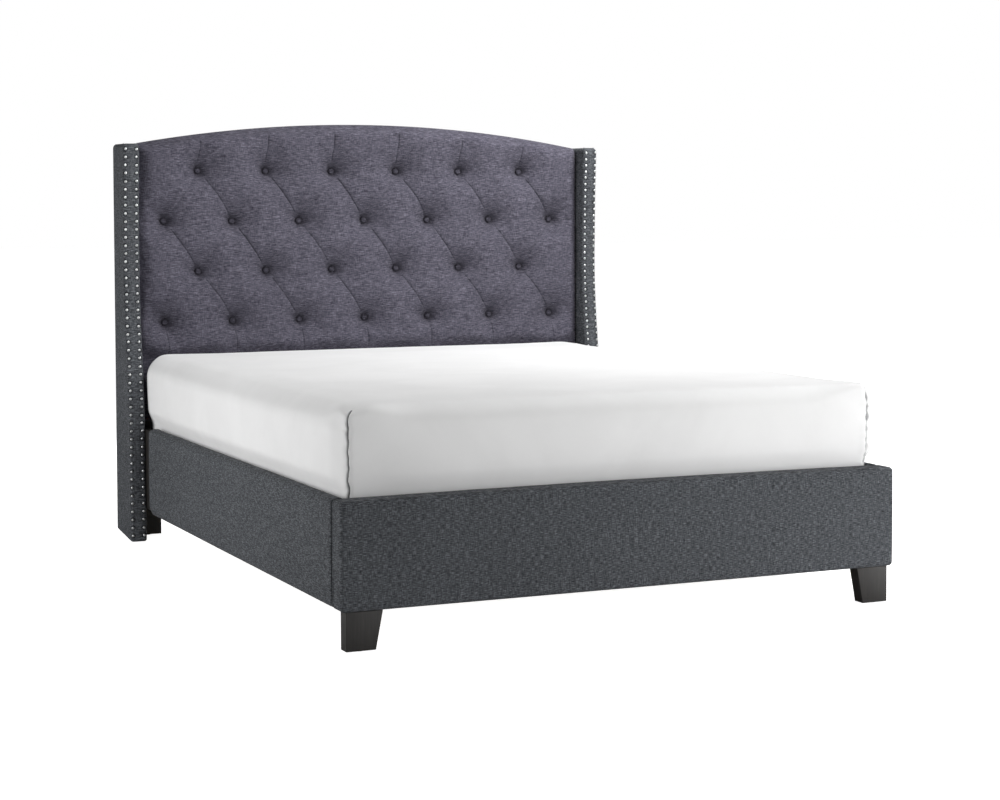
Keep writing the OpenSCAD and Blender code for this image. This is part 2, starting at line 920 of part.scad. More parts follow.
levelling_foot(1);  // levelling_foot_back
mattress();
fitted_sheet();
slat_screws();
for (i = [1:slat_count])
  slat(i - 1);
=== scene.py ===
# Upholstered wing bed. Metres, +Z up, +Y from the footboard to the headboard, left is -X.
import math
import random

import bmesh
import bpy
import numpy as np
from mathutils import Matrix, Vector, noise
from mathutils.geometry import delaunay_2d_cdt
from mathutils.kdtree import KDTree


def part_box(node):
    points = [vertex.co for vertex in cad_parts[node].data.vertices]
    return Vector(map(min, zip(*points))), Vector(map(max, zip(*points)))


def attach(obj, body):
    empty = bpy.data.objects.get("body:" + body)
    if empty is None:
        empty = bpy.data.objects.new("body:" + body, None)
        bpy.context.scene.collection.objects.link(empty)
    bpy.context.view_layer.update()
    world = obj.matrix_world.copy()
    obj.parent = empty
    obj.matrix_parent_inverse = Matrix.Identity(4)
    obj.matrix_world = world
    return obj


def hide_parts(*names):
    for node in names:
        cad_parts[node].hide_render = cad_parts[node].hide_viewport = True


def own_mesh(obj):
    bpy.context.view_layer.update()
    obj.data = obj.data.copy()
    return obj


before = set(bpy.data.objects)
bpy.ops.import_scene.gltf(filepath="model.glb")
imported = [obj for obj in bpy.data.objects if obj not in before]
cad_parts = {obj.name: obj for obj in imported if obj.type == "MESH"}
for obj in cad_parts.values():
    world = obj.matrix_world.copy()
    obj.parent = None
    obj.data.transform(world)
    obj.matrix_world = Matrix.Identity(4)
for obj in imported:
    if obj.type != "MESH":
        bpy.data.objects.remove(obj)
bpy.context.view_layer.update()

scene = bpy.context.scene
scene.view_settings.view_transform = "Standard"
mm = 0.001
signs = {"left": -1, "right": 1}

cameraSet = {
    "place": (-2.5925, -6.4174, 1.1484),  # about knee to eye height, from the left of the foot end
    "turn": (math.pi / 2 - 0.05, 0, -0.4642),
    "lens": 80.97,
    "shift": (-0.1569, -0.0946),
}

camera = bpy.data.objects.new("camera", bpy.data.cameras.new("camera"))
scene.collection.objects.link(camera)
camera.location = cameraSet["place"]
camera.rotation_euler = cameraSet["turn"]
camera.data.lens = cameraSet["lens"]
camera.data.sensor_width = 36
camera.data.shift_x, camera.data.shift_y = cameraSet["shift"]
camera.data.clip_end = 200
scene.camera = camera


def toLinear(hexColour):
    parts = [int(hexColour[i:i + 2], 16) / 255 for i in (1, 3, 5)]
    return tuple(c / 12.92 if c <= 0.04045 else ((c + 0.055) / 1.055) ** 2.4 for c in parts) + (1.0,)


# a socket as a value is linked, anything else is set on the input itself
def setInputs(tree, node, inputs):
    for key, value in inputs.items():
        if isinstance(value, bpy.types.NodeSocket):
            tree.links.new(value, node.inputs[key])
        else:
            node.inputs[key].default_value = value


def addNode(tree, kind, inputs=None, **settings):
    node = tree.nodes.new(kind)
    for key, value in settings.items():
        setattr(node, key, value)
    setInputs(tree, node, inputs or {})
    return node


def startMaterial(name):
    material = bpy.data.materials.new(name)
    material.use_nodes = True
    tree = material.node_tree
    tree.nodes.clear()
    shader = addNode(tree, "ShaderNodeBsdfPrincipled")
    addNode(tree, "ShaderNodeOutputMaterial", {"Surface": shader.outputs["BSDF"]})
    return material, tree, shader


def setRamp(ramp, stops):
    while len(ramp.color_ramp.elements) < len(stops):
        ramp.color_ramp.elements.new(0.5)
    for element, (place, colour) in zip(ramp.color_ramp.elements, stops):
        element.position = place
        element.color = toLinear(colour)


# one wide softbox on the left, two high ones at the upper right, two small low ones past the
# foot and one behind the headboard
lights = {
    "leftSoftbox": {"place": (-2.9, -0.1, 0.8), "aim": (-0.8, -0.1, 0.4), "power": 44, "size": 2.0},
    "highSoftbox": {"place": (1.1, 0.05, 3.0), "aim": (0.0, 1.0, 0.95), "power": 68, "size": 0.7},
    "rightSoftbox": {"place": (2.2, -1.6, 2.8), "aim": (0.0, 1.0, 0.9), "power": 42, "size": 1.0},
    "lowSoftbox": {"place": (1.9, -2.3, 0.35), "aim": (0.6, -1.1, 0.25), "power": 16, "size": 0.6},
    "footSoftbox": {"place": (0.4, -3.3, 0.5), "aim": (0.1, -1.1, 0.4), "power": 13, "size": 0.8},
    "backSoftbox": {"place": (0.6, 3.6, 1.3), "aim": (0.0, 1.1, 0.6), "power": 55, "size": 1.5},
    "frontFill": {"from": (0.0, -0.93, 0.37), "power": 0.46, "angle": 60},  # a wide, distant light
}


def addLight(name, facts):
    distant = "from" in facts
    data = bpy.data.lights.new(name, "SUN" if distant else "AREA")
    data.energy = facts["power"]
    lamp = bpy.data.objects.new(name, data)
    scene.collection.objects.link(lamp)
    if distant:
        data.angle = math.radians(facts["angle"])
        towards = Vector(facts["from"])
    else:
        data.shape = "SQUARE"
        data.size = facts["size"]
        lamp.location = facts["place"]
        lamp.visible_camera = False
        towards = Vector(facts["place"]) - Vector(facts["aim"])
    lamp.rotation_euler = towards.to_track_quat("Z", "Y").to_euler()


for lightName, lightFacts in lights.items():
    addLight(lightName, lightFacts)

room = {"fill": 0.05, "backdrop": 1.0, "floorGlow": 0.96}
world = bpy.data.worlds.new("paleRoom")
world.use_nodes = True
scene.world = world
tree = world.node_tree
tree.nodes.clear()
seen = addNode(tree, "ShaderNodeLightPath").outputs["Is Camera Ray"]
fillLight = addNode(tree, "ShaderNodeBackground", {"Color": (1, 1, 1, 1), "Strength": room["fill"]})
backdrop = addNode(tree, "ShaderNodeBackground", {"Color": (1, 1, 1, 1), "Strength": room["backdrop"]})
both = addNode(tree, "ShaderNodeMixShader", {0: seen, 1: fillLight.outputs[0], 2: backdrop.outputs[0]})
addNode(tree, "ShaderNodeOutputWorld", {"Surface": both.outputs[0]})

floorMesh = bpy.data.meshes.new("floor")
floorReach = 40
fourCorners = ((-1, -1), (1, -1), (1, 1), (-1, 1))  # signs of x and y
floorMesh.from_pydata(
    [(x * floorReach, y * floorReach, -0.5 * mm) for x, y in fourCorners], [], [(0, 1, 2, 3)])
floorPlane = bpy.data.objects.new("floor", floorMesh)
scene.collection.objects.link(floorPlane)
floorPaint, tree, shader = startMaterial("pale floor paint")
grain = addNode(tree, "ShaderNodeTexNoise", {"Scale": 3.0, "Detail": 2.0})
tint = addNode(tree, "ShaderNodeValToRGB", {"Fac": grain.outputs["Fac"]})
setRamp(tint, [(0.3, "#e2e2e2"), (0.7, "#e6e6e6")])
seen = addNode(tree, "ShaderNodeLightPath").outputs["Is Camera Ray"]
glow = addNode(tree, "ShaderNodeMath", {0: seen, 1: room["floorGlow"]}, operation="MULTIPLY")
setInputs(tree, shader, {  # it glows for the camera alone, as pale as the backdrop
    "Base Color": tint.outputs["Color"], "Roughness": 0.9, "Emission Color": (1, 1, 1, 1),
    "Emission Strength": glow.outputs[0]})
floorMesh.materials.append(floorPaint)
print("camera, lights and floor done")


# Linen-look polyester, plain weave: matte, heathered, with thicker slubs along both thread directions.
# Real threads are 0.8 mm apart, too fine to show, so the slubs are drawn about 2 mm thick.
def linenLook(name, look):
    material, tree, shader = startMaterial(name)
    place = addNode(tree, "ShaderNodeTexCoord").outputs["Object"]
    thread = 1 / (look["threadMm"] * mm)
    slub = 1 / (look["slubMm"] * mm)
    level = addNode(tree, "ShaderNodeMapping", {"Vector": place, "Scale": (slub, slub, thread)})
    upright = addNode(tree, "ShaderNodeMapping", {"Vector": place, "Scale": (thread, thread, slub)})
    weft = addNode(tree, "ShaderNodeTexNoise", {
        "Vector": level.outputs["Vector"], "Scale": 1.0, "Detail": 1.5, "Roughness": 0.5})
    warp = addNode(tree, "ShaderNodeTexNoise", {
        "Vector": upright.outputs["Vector"], "Scale": 1.0, "Detail": 1.5, "Roughness": 0.5})
    weave = addNode(tree, "ShaderNodeMix", {
        "Factor": look["warpShare"], "A": weft.outputs["Fac"], "B": warp.outputs["Fac"]}, data_type="FLOAT")
    spread = addNode(tree, "ShaderNodeMapRange", {
        "Value": weave.outputs["Result"],
        "From Min": 0.5 - look["contrast"], "From Max": 0.5 + look["contrast"]})
    shade = addNode(tree, "ShaderNodeValToRGB", {"Fac": spread.outputs["Result"]})
    setRamp(shade, [(0.0, look["dark"]), (0.5, look["colour"]), (1.0, look["light"])])
    patch = addNode(tree, "ShaderNodeTexNoise", {"Vector": place, "Scale": 0.0022 / mm, "Detail": 2.0})
    wide = addNode(tree, "ShaderNodeMapRange", {
        "Value": patch.outputs["Fac"], "From Min": 0.3, "From Max": 0.7, "To Min": 0.94, "To Max": 1.05})
    mixed = addNode(tree, "ShaderNodeMix", {
        "Factor": 1.0, "A": shade.outputs["Color"], "B": wide.outputs["Result"]},
        data_type="RGBA", blend_type="MULTIPLY")
    # painted shade where the cloth is drawn in at a button or seam; the mesh says where
    paintedShade = addNode(tree, "ShaderNodeAttribute", attribute_name="paintedShade").outputs["Fac"]
    withPaintedShade = addNode(tree, "ShaderNodeMix", {
        "Factor": paintedShade, "A": mixed.outputs["Result"], "B": toLinear(look["paintedShade"])}, data_type="RGBA")
    bump = addNode(tree, "ShaderNodeBump", {
        "Height": spread.outputs["Result"], "Strength": look["relief"], "Distance": 0.6 * mm})
    setInputs(tree, shader, {
        "Base Color": withPaintedShade.outputs["Result"], "Normal": bump.outputs["Normal"], "Roughness": 0.92,
        "Sheen Weight": 0.04, "Sheen Roughness": 0.5, "Specular IOR Level": 0.15})
    return material


# the darkest colour of each linen is painted shade, for the tufts, nails and seams
panelLinen = linenLook("plum grey linen-look polyester", {
    "colour": "#4e4c57", "dark": "#2c2a33", "light": "#74717d", "paintedShade": "#1c1b21", "threadMm": 1.8,
    "slubMm": 16, "warpShare": 0.36, "contrast": 0.2, "relief": 0.25})
trimLinen = linenLook("charcoal linen-look polyester", {
    "colour": "#494b4f", "dark": "#232528", "light": "#75797d", "paintedShade": "#111214", "threadMm": 1.7,
    "slubMm": 13, "warpShare": 0.36, "contrast": 0.18, "relief": 0.25})


# Cotton percale: white, smooth and matte, with a thread count too fine to see.
# The weave is drawn 2 mm apart, coarser than it is. The iron leaves faint, broad creases, and the seams
# are painted grey: partly painted shade inside the gathered seam, partly grey thread.
def percale():
    material, tree, shader = startMaterial("white cotton percale")
    place = addNode(tree, "ShaderNodeTexCoord").outputs["Object"]
    thread = addNode(tree, "ShaderNodeTexNoise", {"Vector": place, "Scale": 1 / (2 * mm), "Detail": 2.0})
    crease = addNode(tree, "ShaderNodeTexNoise", {
        "Vector": place, "Scale": 1 / (250 * mm), "Detail": 4.0, "Roughness": 0.55, "Distortion": 0.6})
    shade = addNode(tree, "ShaderNodeValToRGB", {"Fac": crease.outputs["Fac"]})
    setRamp(shade, [(0.35, "#e8e8e8"), (0.65, "#ededed")])
    paintedShade = addNode(tree, "ShaderNodeAttribute", attribute_name="paintedShade").outputs["Fac"]
    # painted shade and grey thread in the corner seams
    seam = addNode(tree, "ShaderNodeMix", {
        "Factor": paintedShade, "A": shade.outputs["Color"], "B": toLinear("#77777a")}, data_type="RGBA")
    fine = addNode(tree, "ShaderNodeBump", {
        "Height": thread.outputs["Fac"], "Strength": 0.12, "Distance": 0.2 * mm})
    broad = addNode(tree, "ShaderNodeBump", {
        "Height": crease.outputs["Fac"], "Strength": 0.12, "Distance": 6 * mm,
        "Normal": fine.outputs["Normal"]})
    setInputs(tree, shader, {
        "Base Color": seam.outputs["Result"], "Normal": broad.outputs["Normal"], "Roughness": 0.85,
        "Sheen Weight": 0.08, "Specular IOR Level": 0.25})
    return material


sheetCotton = percale()


# Knitted ticking: off-white, soft, with a quilted wave every 60 mm.
def ticking():
    material, tree, shader = startMaterial("knitted ticking")
    place = addNode(tree, "ShaderNodeTexCoord").outputs["Object"]
    quilt = addNode(tree, "ShaderNodeTexWave", {
        "Vector": place, "Scale": 0.3 / (60 * mm), "Distortion": 3.0, "Detail": 1.0},
        bands_direction="DIAGONAL")
    knit = addNode(tree, "ShaderNodeTexNoise", {
        "Vector": place, "Scale": 0.6 / mm, "Detail": 1.0})
    shade = addNode(tree, "ShaderNodeValToRGB", {"Fac": quilt.outputs["Fac"]})
    setRamp(shade, [(0.0, "#d9d6cd"), (0.3, "#ebe8e0")])
    fine = addNode(tree, "ShaderNodeBump", {
        "Height": knit.outputs["Fac"], "Strength": 0.3, "Distance": 0.4 * mm})
    deep = addNode(tree, "ShaderNodeBump", {
        "Height": quilt.outputs["Fac"], "Strength": 0.5, "Distance": 3 * mm,
        "Normal": fine.outputs["Normal"]})
    setInputs(tree, shader, {
        "Base Color": shade.outputs["Color"], "Normal": deep.outputs["Normal"], "Roughness": 0.9})
    return material


mattressTicking = ticking()


# Spunbond polypropylene dust cloth: black, thin and matte, with a small dot embossed every 2.5 mm.
def dustCloth():
    material, tree, shader = startMaterial("black spunbond dust cloth")
    place = addNode(tree, "ShaderNodeTexCoord").outputs["Object"]
    dots = addNode(tree, "ShaderNodeTexVoronoi", {
        "Vector": place, "Scale": 1 / (2.5 * mm), "Randomness": 0.4})
    fibres = addNode(tree, "ShaderNodeTexNoise", {
        "Vector": place, "Scale": 0.09 / mm, "Detail": 6.0})
    shade = addNode(tree, "ShaderNodeValToRGB", {"Fac": fibres.outputs["Fac"]})
    setRamp(shade, [(0.3, "#1d1d1f"), (0.7, "#2e2e31")])
    bump = addNode(tree, "ShaderNodeBump", {
        "Height": dots.outputs["Distance"], "Strength": 0.4, "Distance": 0.3 * mm})
    setInputs(tree, shader, {
        "Base Color": shade.outputs["Color"], "Normal": bump.outputs["Normal"], "Roughness": 0.8})
    return material


backCloth = dustCloth()


# Planed softwood and plywood: pale, open grain that runs along the board.
# Stained wood is nearly black, and a satin lacquer leaves the grain only as a faint relief.
def plankWood(name, look):
    material, tree, shader = startMaterial(name)
    place = addNode(tree, "ShaderNodeTexCoord").outputs["Object"]
    fine = 1 / (look["grainMm"] * mm)
    stretch = tuple(fine / 22 if axis == look["along"] else fine for axis in "XYZ")
    lay = addNode(tree, "ShaderNodeMapping", {"Vector": place, "Scale": stretch})
    rings = addNode(tree, "ShaderNodeTexNoise", {
        "Vector": lay.outputs["Vector"], "Scale": 0.35, "Detail": 5.0, "Roughness": 0.6, "Distortion": 1.2})
    pores = addNode(tree, "ShaderNodeTexNoise", {
        "Vector": lay.outputs["Vector"], "Scale": 2.5, "Detail": 3.0, "Roughness": 0.7})
    both = addNode(tree, "ShaderNodeMix", {
        "Factor": 0.35, "A": rings.outputs["Fac"], "B": pores.outputs["Fac"]}, data_type="FLOAT")
    shade = addNode(tree, "ShaderNodeValToRGB", {"Fac": both.outputs["Result"]})
    setRamp(shade, [(0.35, look["dark"]), (0.52, look["colour"]), (0.68, look["light"])])
    bump = addNode(tree, "ShaderNodeBump", {
        "Height": both.outputs["Result"], "Strength": look["relief"], "Distance": 0.3 * mm})
    setInputs(tree, shader, {
        "Base Color": shade.outputs["Color"], "Normal": bump.outputs["Normal"],
        "Roughness": look["roughness"]})
    return material


pine = {
    "grainMm": 3, "dark": "#b98f5b", "colour": "#d0a873", "light": "#e0bf90", "relief": 0.4, "roughness": 0.6}
stained = {
    "grainMm": 2, "dark": "#161412", "colour": "#1f1c1a", "light": "#2a2624", "relief": 0.25,
    "roughness": 0.55}
pineAcross = plankWood("planed pine, grain across", pine | {
    "along": "X", "colour": "#d3ad7a", "light": "#e2c397"})
pineAlong = plankWood("planed pine, grain lengthwise", pine | {"along": "Y"})
pineUpright = plankWood("planed pine, grain upright", pine | {"along": "Z"})
stainedUpright = plankWood("black-brown stained beech, upright", stained | {"along": "Z"})
stainedAlong = plankWood("black-brown stained beech, lengthwise", stained | {"along": "Y"})
slatWood = plankWood("planed spruce slat", {
    "along": "X", "grainMm": 2.5, "dark": "#c9a574", "colour": "#dfc193", "light": "#ecd7b2",
    "relief": 0.4, "roughness": 0.55})
boardPly = plankWood("sanded birch plywood", {
    "along": "X", "grainMm": 4, "dark": "#c2a06c", "colour": "#d4b685", "light": "#e0c79c",
    "relief": 0.2, "roughness": 0.5})


# Plated steel: nickel is bright and smooth, zinc is duller with a cloudy grain.
def platedSteel(name, look):
    material, tree, shader = startMaterial(name)
    place = addNode(tree, "ShaderNodeTexCoord").outputs["Object"]
    cloud = addNode(tree, "ShaderNodeTexNoise", {
        "Vector": place, "Scale": look["cloudPerMm"] / mm, "Detail": 3.0})
    shade = addNode(tree, "ShaderNodeValToRGB", {"Fac": cloud.outputs["Fac"]})
    setRamp(shade, [(0.35, look["dark"]), (0.65, look["light"])])
    blur = addNode(tree, "ShaderNodeMapRange", {
        "Value": cloud.outputs["Fac"], "To Min": look["smooth"], "To Max": look["smooth"] + 0.15})
    setInputs(tree, shader, {
        "Base Color": shade.outputs["Color"], "Roughness": blur.outputs["Result"], "Metallic": 1.0})
    return material


nailNickel = platedSteel("nickel plated steel", {
    "dark": "#c4c6c8", "light": "#e2e3e4", "cloudPerMm": 0.12, "smooth": 0.25})
boltZinc = platedSteel("zinc plated steel", {
    "dark": "#9a9ca0", "light": "#c3c5c8", "cloudPerMm": 0.3, "smooth": 0.35})


# Black, with a fine even grain: the orange peel of a baked powder coat, or the spark-eroded texture
# that a mould leaves on polypropylene, which is drawn about 1 mm wide and so coarser than it is.
def grainedBlack(name, look):
    material, tree, shader = startMaterial(name)
    place = addNode(tree, "ShaderNodeTexCoord").outputs["Object"]
    grain = addNode(tree, "ShaderNodeTexNoise", {
        "Vector": place, "Scale": look["grainPerMm"] / mm, "Detail": look["detail"]})
    shade = addNode(tree, "ShaderNodeValToRGB", {"Fac": grain.outputs["Fac"]})
    setRamp(shade, [(0.3, look["dark"]), (0.7, look["light"])])
    bump = addNode(tree, "ShaderNodeBump", {
        "Height": grain.outputs["Fac"], "Strength": look["relief"], "Distance": look["reliefMm"] * mm})
    setInputs(tree, shader, {
        "Base Color": shade.outputs["Color"], "Normal": bump.outputs["Normal"],
        "Roughness": look["roughness"]})
    return material


bracketCoat = grainedBlack("black powder coat", {
    "grainPerMm": 0.45, "detail": 2.0, "dark": "#151517", "light": "#1e1e20",
    "relief": 0.25, "reliefMm": 0.2, "roughness": 0.45})
footPlastic = grainedBlack("black moulded polypropylene", {
    "grainPerMm": 0.9, "detail": 3.0, "dark": "#1b1b1b", "light": "#262626",
    "relief": 0.3, "reliefMm": 0.15, "roughness": 0.55})
print("materials done")


def makePiece(name, points, faces, material, body, replaced=()):
    mesh = bpy.data.meshes.new(name)
    mesh.from_pydata([tuple(p) for p in points], [], [tuple(f) for f in faces])
    mesh.validate()
    piece = bpy.data.objects.new(name, mesh)
    scene.collection.objects.link(piece)
    finishPiece(piece, material, body, replaced)
    return piece


def finishPiece(piece, material, body, replaced=()):
    mesh = piece.data
    tidy = bmesh.new()
    tidy.from_mesh(mesh)
    bmesh.ops.remove_doubles(tidy, verts=tidy.verts, dist=1e-6)
    bmesh.ops.recalc_face_normals(tidy, faces=tidy.faces)
    tidy.to_mesh(mesh)
    tidy.free()
    mesh.polygons.foreach_set("use_smooth", [True] * len(mesh.polygons))
    mesh.materials.clear()
    mesh.materials.append(material)
    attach(piece, body)
    if replaced:
        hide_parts(*replaced)


# tells the cloth's material where to paint shade, where the cloth is drawn in: 0 to 1 at each vertex
def markPaintedShade(piece, strength):
    mesh = piece.data
    points = np.empty(len(mesh.vertices) * 3)
    mesh.vertices.foreach_get("co", points)
    layer = mesh.attributes.new("paintedShade", "FLOAT", "POINT")
    layer.data.foreach_set("value", np.clip(strength(points.reshape(-1, 3)), 0, 1).astype(np.float32))


# faces between rings of equally many points, each ring closed
def ringFaces(ringCount, ringSize, start=0):
    faces = []
    for r in range(ringCount - 1):
        for i in range(ringSize):
            j = (i + 1) % ringSize
            a = start + r * ringSize
            faces.append((a + i, a + j, a + ringSize + j, a + ringSize + i))
    return faces


# a tube of rings with both ends closed
def tubeFaces(ringCount, ringSize):
    last = (ringCount - 1) * ringSize
    return ringFaces(ringCount, ringSize) + [tuple(range(ringSize)), tuple(range(last, last + ringSize))]


def ease(t):
    t = np.clip(t, 0, 1)
    return t * t * (3 - 2 * t)


# how far a rounded edge has drawn back at this distance from its end
def roll(edge, radius):
    inside = np.clip(edge, 0, radius)
    return radius - np.sqrt(radius ** 2 - (radius - inside) ** 2)


def middleAndHalf(node):
    lo, hi = (np.array(corner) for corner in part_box(node))
    return (lo + hi) / 2, (hi - lo) / 2


# smooth noise from -1 to 1 at many points
def waves(points, scale, seed):
    away = Vector((seed * 7.3, seed * 3.1, seed * 1.7))
    return np.array([noise.noise(Vector(p) * scale + away) for p in points])


# closed outline of a rounded rectangle, anticlockwise, with points at the given spacing on its sides
def roundedOutline(x0, x1, y0, y1, radii, spacing, cornerSteps=6):
    corners = [(x1, y1, 0), (x0, y1, 90), (x0, y0, 180), (x1, y0, 270)]
    outline = []
    for (x, y, start), r in zip(corners, radii):
        cx = x - r if x == x1 else x + r
        cy = y - r if y == y1 else y + r
        for s in range(cornerSteps + 1):
            angle = math.radians(start + 90 * s / cornerSteps)
            outline.append((cx + r * math.cos(angle), cy + r * math.sin(angle)))
    full = []
    for i, p in enumerate(outline):
        q = outline[(i + 1) % len(outline)]
        gap = math.dist(p, q)
        steps = max(1, round(gap / spacing))
        full += [(p[0] + (q[0] - p[0]) * s / steps, p[1] + (q[1] - p[1]) * s / steps) for s in range(steps)]
    return full


def spacedSteps(half, coarse, fine, fineReach):
    inner = half - fineReach
    n = round(2 * inner / coarse)
    m = round(fineReach / fine)
    middle = list(np.linspace(-inner, inner, n + 1))
    outer = list(np.linspace(inner, half, m + 1))[1:]
    return np.array([-v for v in reversed(outer)] + middle + outer)


# points of a box's skin, with the underside open inside the rim
def boxSkin(xs, ys, zs, rim):
    points, faces = [], []

    def patch(grid):
        rows, columns = grid.shape[:2]
        start = len(points)
        points.extend(map(tuple, grid.reshape(-1, 3)))
        for r in range(rows - 1):
            for c in range(columns - 1):
                a = start + r * columns + c
                faces.append((a, a + 1, a + columns + 1, a + columns))

    gx, gy = np.meshgrid(xs, ys)
    patch(np.dstack([gx, gy, np.full_like(gx, zs[-1])]))
    for x in (xs[0], xs[-1]):
        gy, gz = np.meshgrid(ys, zs)
        patch(np.dstack([np.full_like(gy, x), gy, gz]))
    for y in (ys[0], ys[-1]):
        gx, gz = np.meshgrid(xs, zs)
        patch(np.dstack([gx, np.full_like(gx, y), gz]))
    if rim is None:
        gx, gy = np.meshgrid(xs, ys)
        patch(np.dstack([gx, gy, np.full_like(gx, zs[0])]))
        return points, faces
    left = xs[xs <= xs[0] + rim]
    right = xs[xs >= xs[-1] - rim]
    near = ys[ys <= ys[0] + rim]
    far = ys[ys >= ys[-1] - rim]
    for columns, rows in ((xs, near), (xs, far), (left, ys), (right, ys)):
        if columns is not xs:
            rows = ys[(ys >= near[-1]) & (ys <= far[0])]
        gx, gy = np.meshgrid(columns, rows)
        patch(np.dstack([gx, gy, np.full_like(gx, zs[0])]))
    return points, faces


# how far a point lies inside a rectangle with rounded corners, and the way inwards
def insideGap(x, y, halfX, halfY, corner):
    gapX, gapY = halfX - np.abs(x), halfY - np.abs(y)
    inCorner = (gapX < corner) & (gapY < corner)
    cx, cy = np.maximum(corner - gapX, 0), np.maximum(corner - gapY, 0)
    length = np.maximum(np.hypot(cx, cy), 1e-9)
    gap = np.where(inCorner, corner - np.hypot(cx, cy), np.minimum(gapX, gapY))
    wayX = np.where(inCorner, cx / length, np.where(gapX <= gapY, 1, 0)) * np.sign(x)
    wayY = np.where(inCorner, cy / length, np.where(gapX <= gapY, 0, 1)) * np.sign(y)
    return gap, wayX, wayY


# rounds a box's upper and lower edges by radius, and its upright corners by corner; both may vary by point
def roundBox(pts, half, radius, corner):
    x, y, z = pts[:, 0].copy(), pts[:, 1].copy(), pts[:, 2].copy()
    radius = np.broadcast_to(radius, x.shape)
    corner = np.broadcast_to(corner, x.shape)
    gap, wayX, wayY = insideGap(x, y, half[0], half[1], corner)
    out = np.minimum(gap, 0)  # pulls points outside the rounded corners back to them
    x += wayX * out
    y += wayY * out
    gap = np.maximum(gap, 0)
    depth = half[2] - np.abs(z)
    inwards = np.clip(radius - gap, 0, None)
    downwards = np.clip(radius - depth, 0, None)
    both = (inwards > 0) & (downwards > 0)
    pull = np.where(both, np.maximum(np.hypot(inwards, downwards) / radius, 1), 1)
    shift = inwards * (1 - 1 / pull)
    return np.stack([x - wayX * shift, y - wayY * shift, z - np.sign(z) * downwards * (1 - 1 / pull)], axis=1)


clothSet = {
    "frames": 20,
    "quality": 6,
    "mass": 0.3,
    "tension": 15,
    "shear": 6,
    "bending": 0.6,
}


# runs the cloth solver on a coarse skin held at some points; gives its rest points and how far each one moved
def clothMoves(name, points, faces, heldAt, pressure, growth, cap):
    mesh = bpy.data.meshes.new(name)
    mesh.from_pydata([tuple(p) for p in points], [], [tuple(f) for f in faces])
    work = bmesh.new()
    work.from_mesh(mesh)
    bmesh.ops.remove_doubles(work, verts=work.verts, dist=1e-5)
    bmesh.ops.recalc_face_normals(work, faces=work.faces)
    work.to_mesh(mesh)
    work.free()
    rest = np.empty(len(mesh.vertices) * 3)
    mesh.vertices.foreach_get("co", rest)
    rest = rest.reshape(-1, 3)
    skin = bpy.data.objects.new(name, mesh)
    scene.collection.objects.link(skin)
    group = skin.vertex_groups.new(name="held")
    group.add([int(i) for i in np.nonzero(heldAt(rest))[0]], 1.0, "REPLACE")
    solver = skin.modifiers.new("cloth", "CLOTH")
    cloth = solver.settings
    cloth.quality = clothSet["quality"]
    cloth.mass = clothSet["mass"]
    cloth.tension_stiffness = cloth.compression_stiffness = clothSet["tension"]
    cloth.shear_stiffness = clothSet["shear"]
    cloth.bending_stiffness = clothSet["bending"]
    cloth.vertex_group_mass = "held"
    cloth.use_pressure = True
    cloth.uniform_pressure_force = pressure
    cloth.shrink_min = -growth
    cloth.effector_weights.gravity = 0
    solver.collision_settings.use_collision = False
    solver.point_cache.frame_start = 1
    solver.point_cache.frame_end = clothSet["frames"]
    for frameNumber in range(1, clothSet["frames"] + 1):
        scene.frame_set(frameNumber)
    done = skin.evaluated_get(bpy.context.evaluated_depsgraph_get()).data
    moved = np.empty(len(done.vertices) * 3)
    done.vertices.foreach_get("co", moved)
    moves = moved.reshape(-1, 3) - rest
    scene.frame_set(1)
    bpy.data.objects.remove(skin)
    length = np.linalg.norm(moves, axis=1, keepdims=True)
    return rest, moves * np.minimum(1, cap / np.maximum(length, 1e-9))


# carries the moves of a coarse skin over to nearby points of a fine one
def carryMoves(points, rest, moves, count, reach):
    tree = KDTree(len(rest))
    for i, p in enumerate(rest):
        tree.insert(p, i)
    tree.balance()
    carried = np.zeros((len(points), 3))
    for i, p in enumerate(points):
        found = tree.find_n(p, count)
        weights = np.array([1 / (gap * gap + reach * reach) for _, _, gap in found])
        carried[i] = weights @ moves[[k for _, k, _ in found]] / weights.sum()
    return carried


padLo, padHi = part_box("tufted_pad")
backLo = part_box("backing_board")[0]
wingLo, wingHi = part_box("wing_cover_right")
sheetLo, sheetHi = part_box("fitted_sheet")
crown = padHi.z
shoulder = wingHi.z
halfPanel = padHi.x
archRadius = (halfPanel ** 2 + (crown - shoulder) ** 2) / (2 * (crown - shoulder))

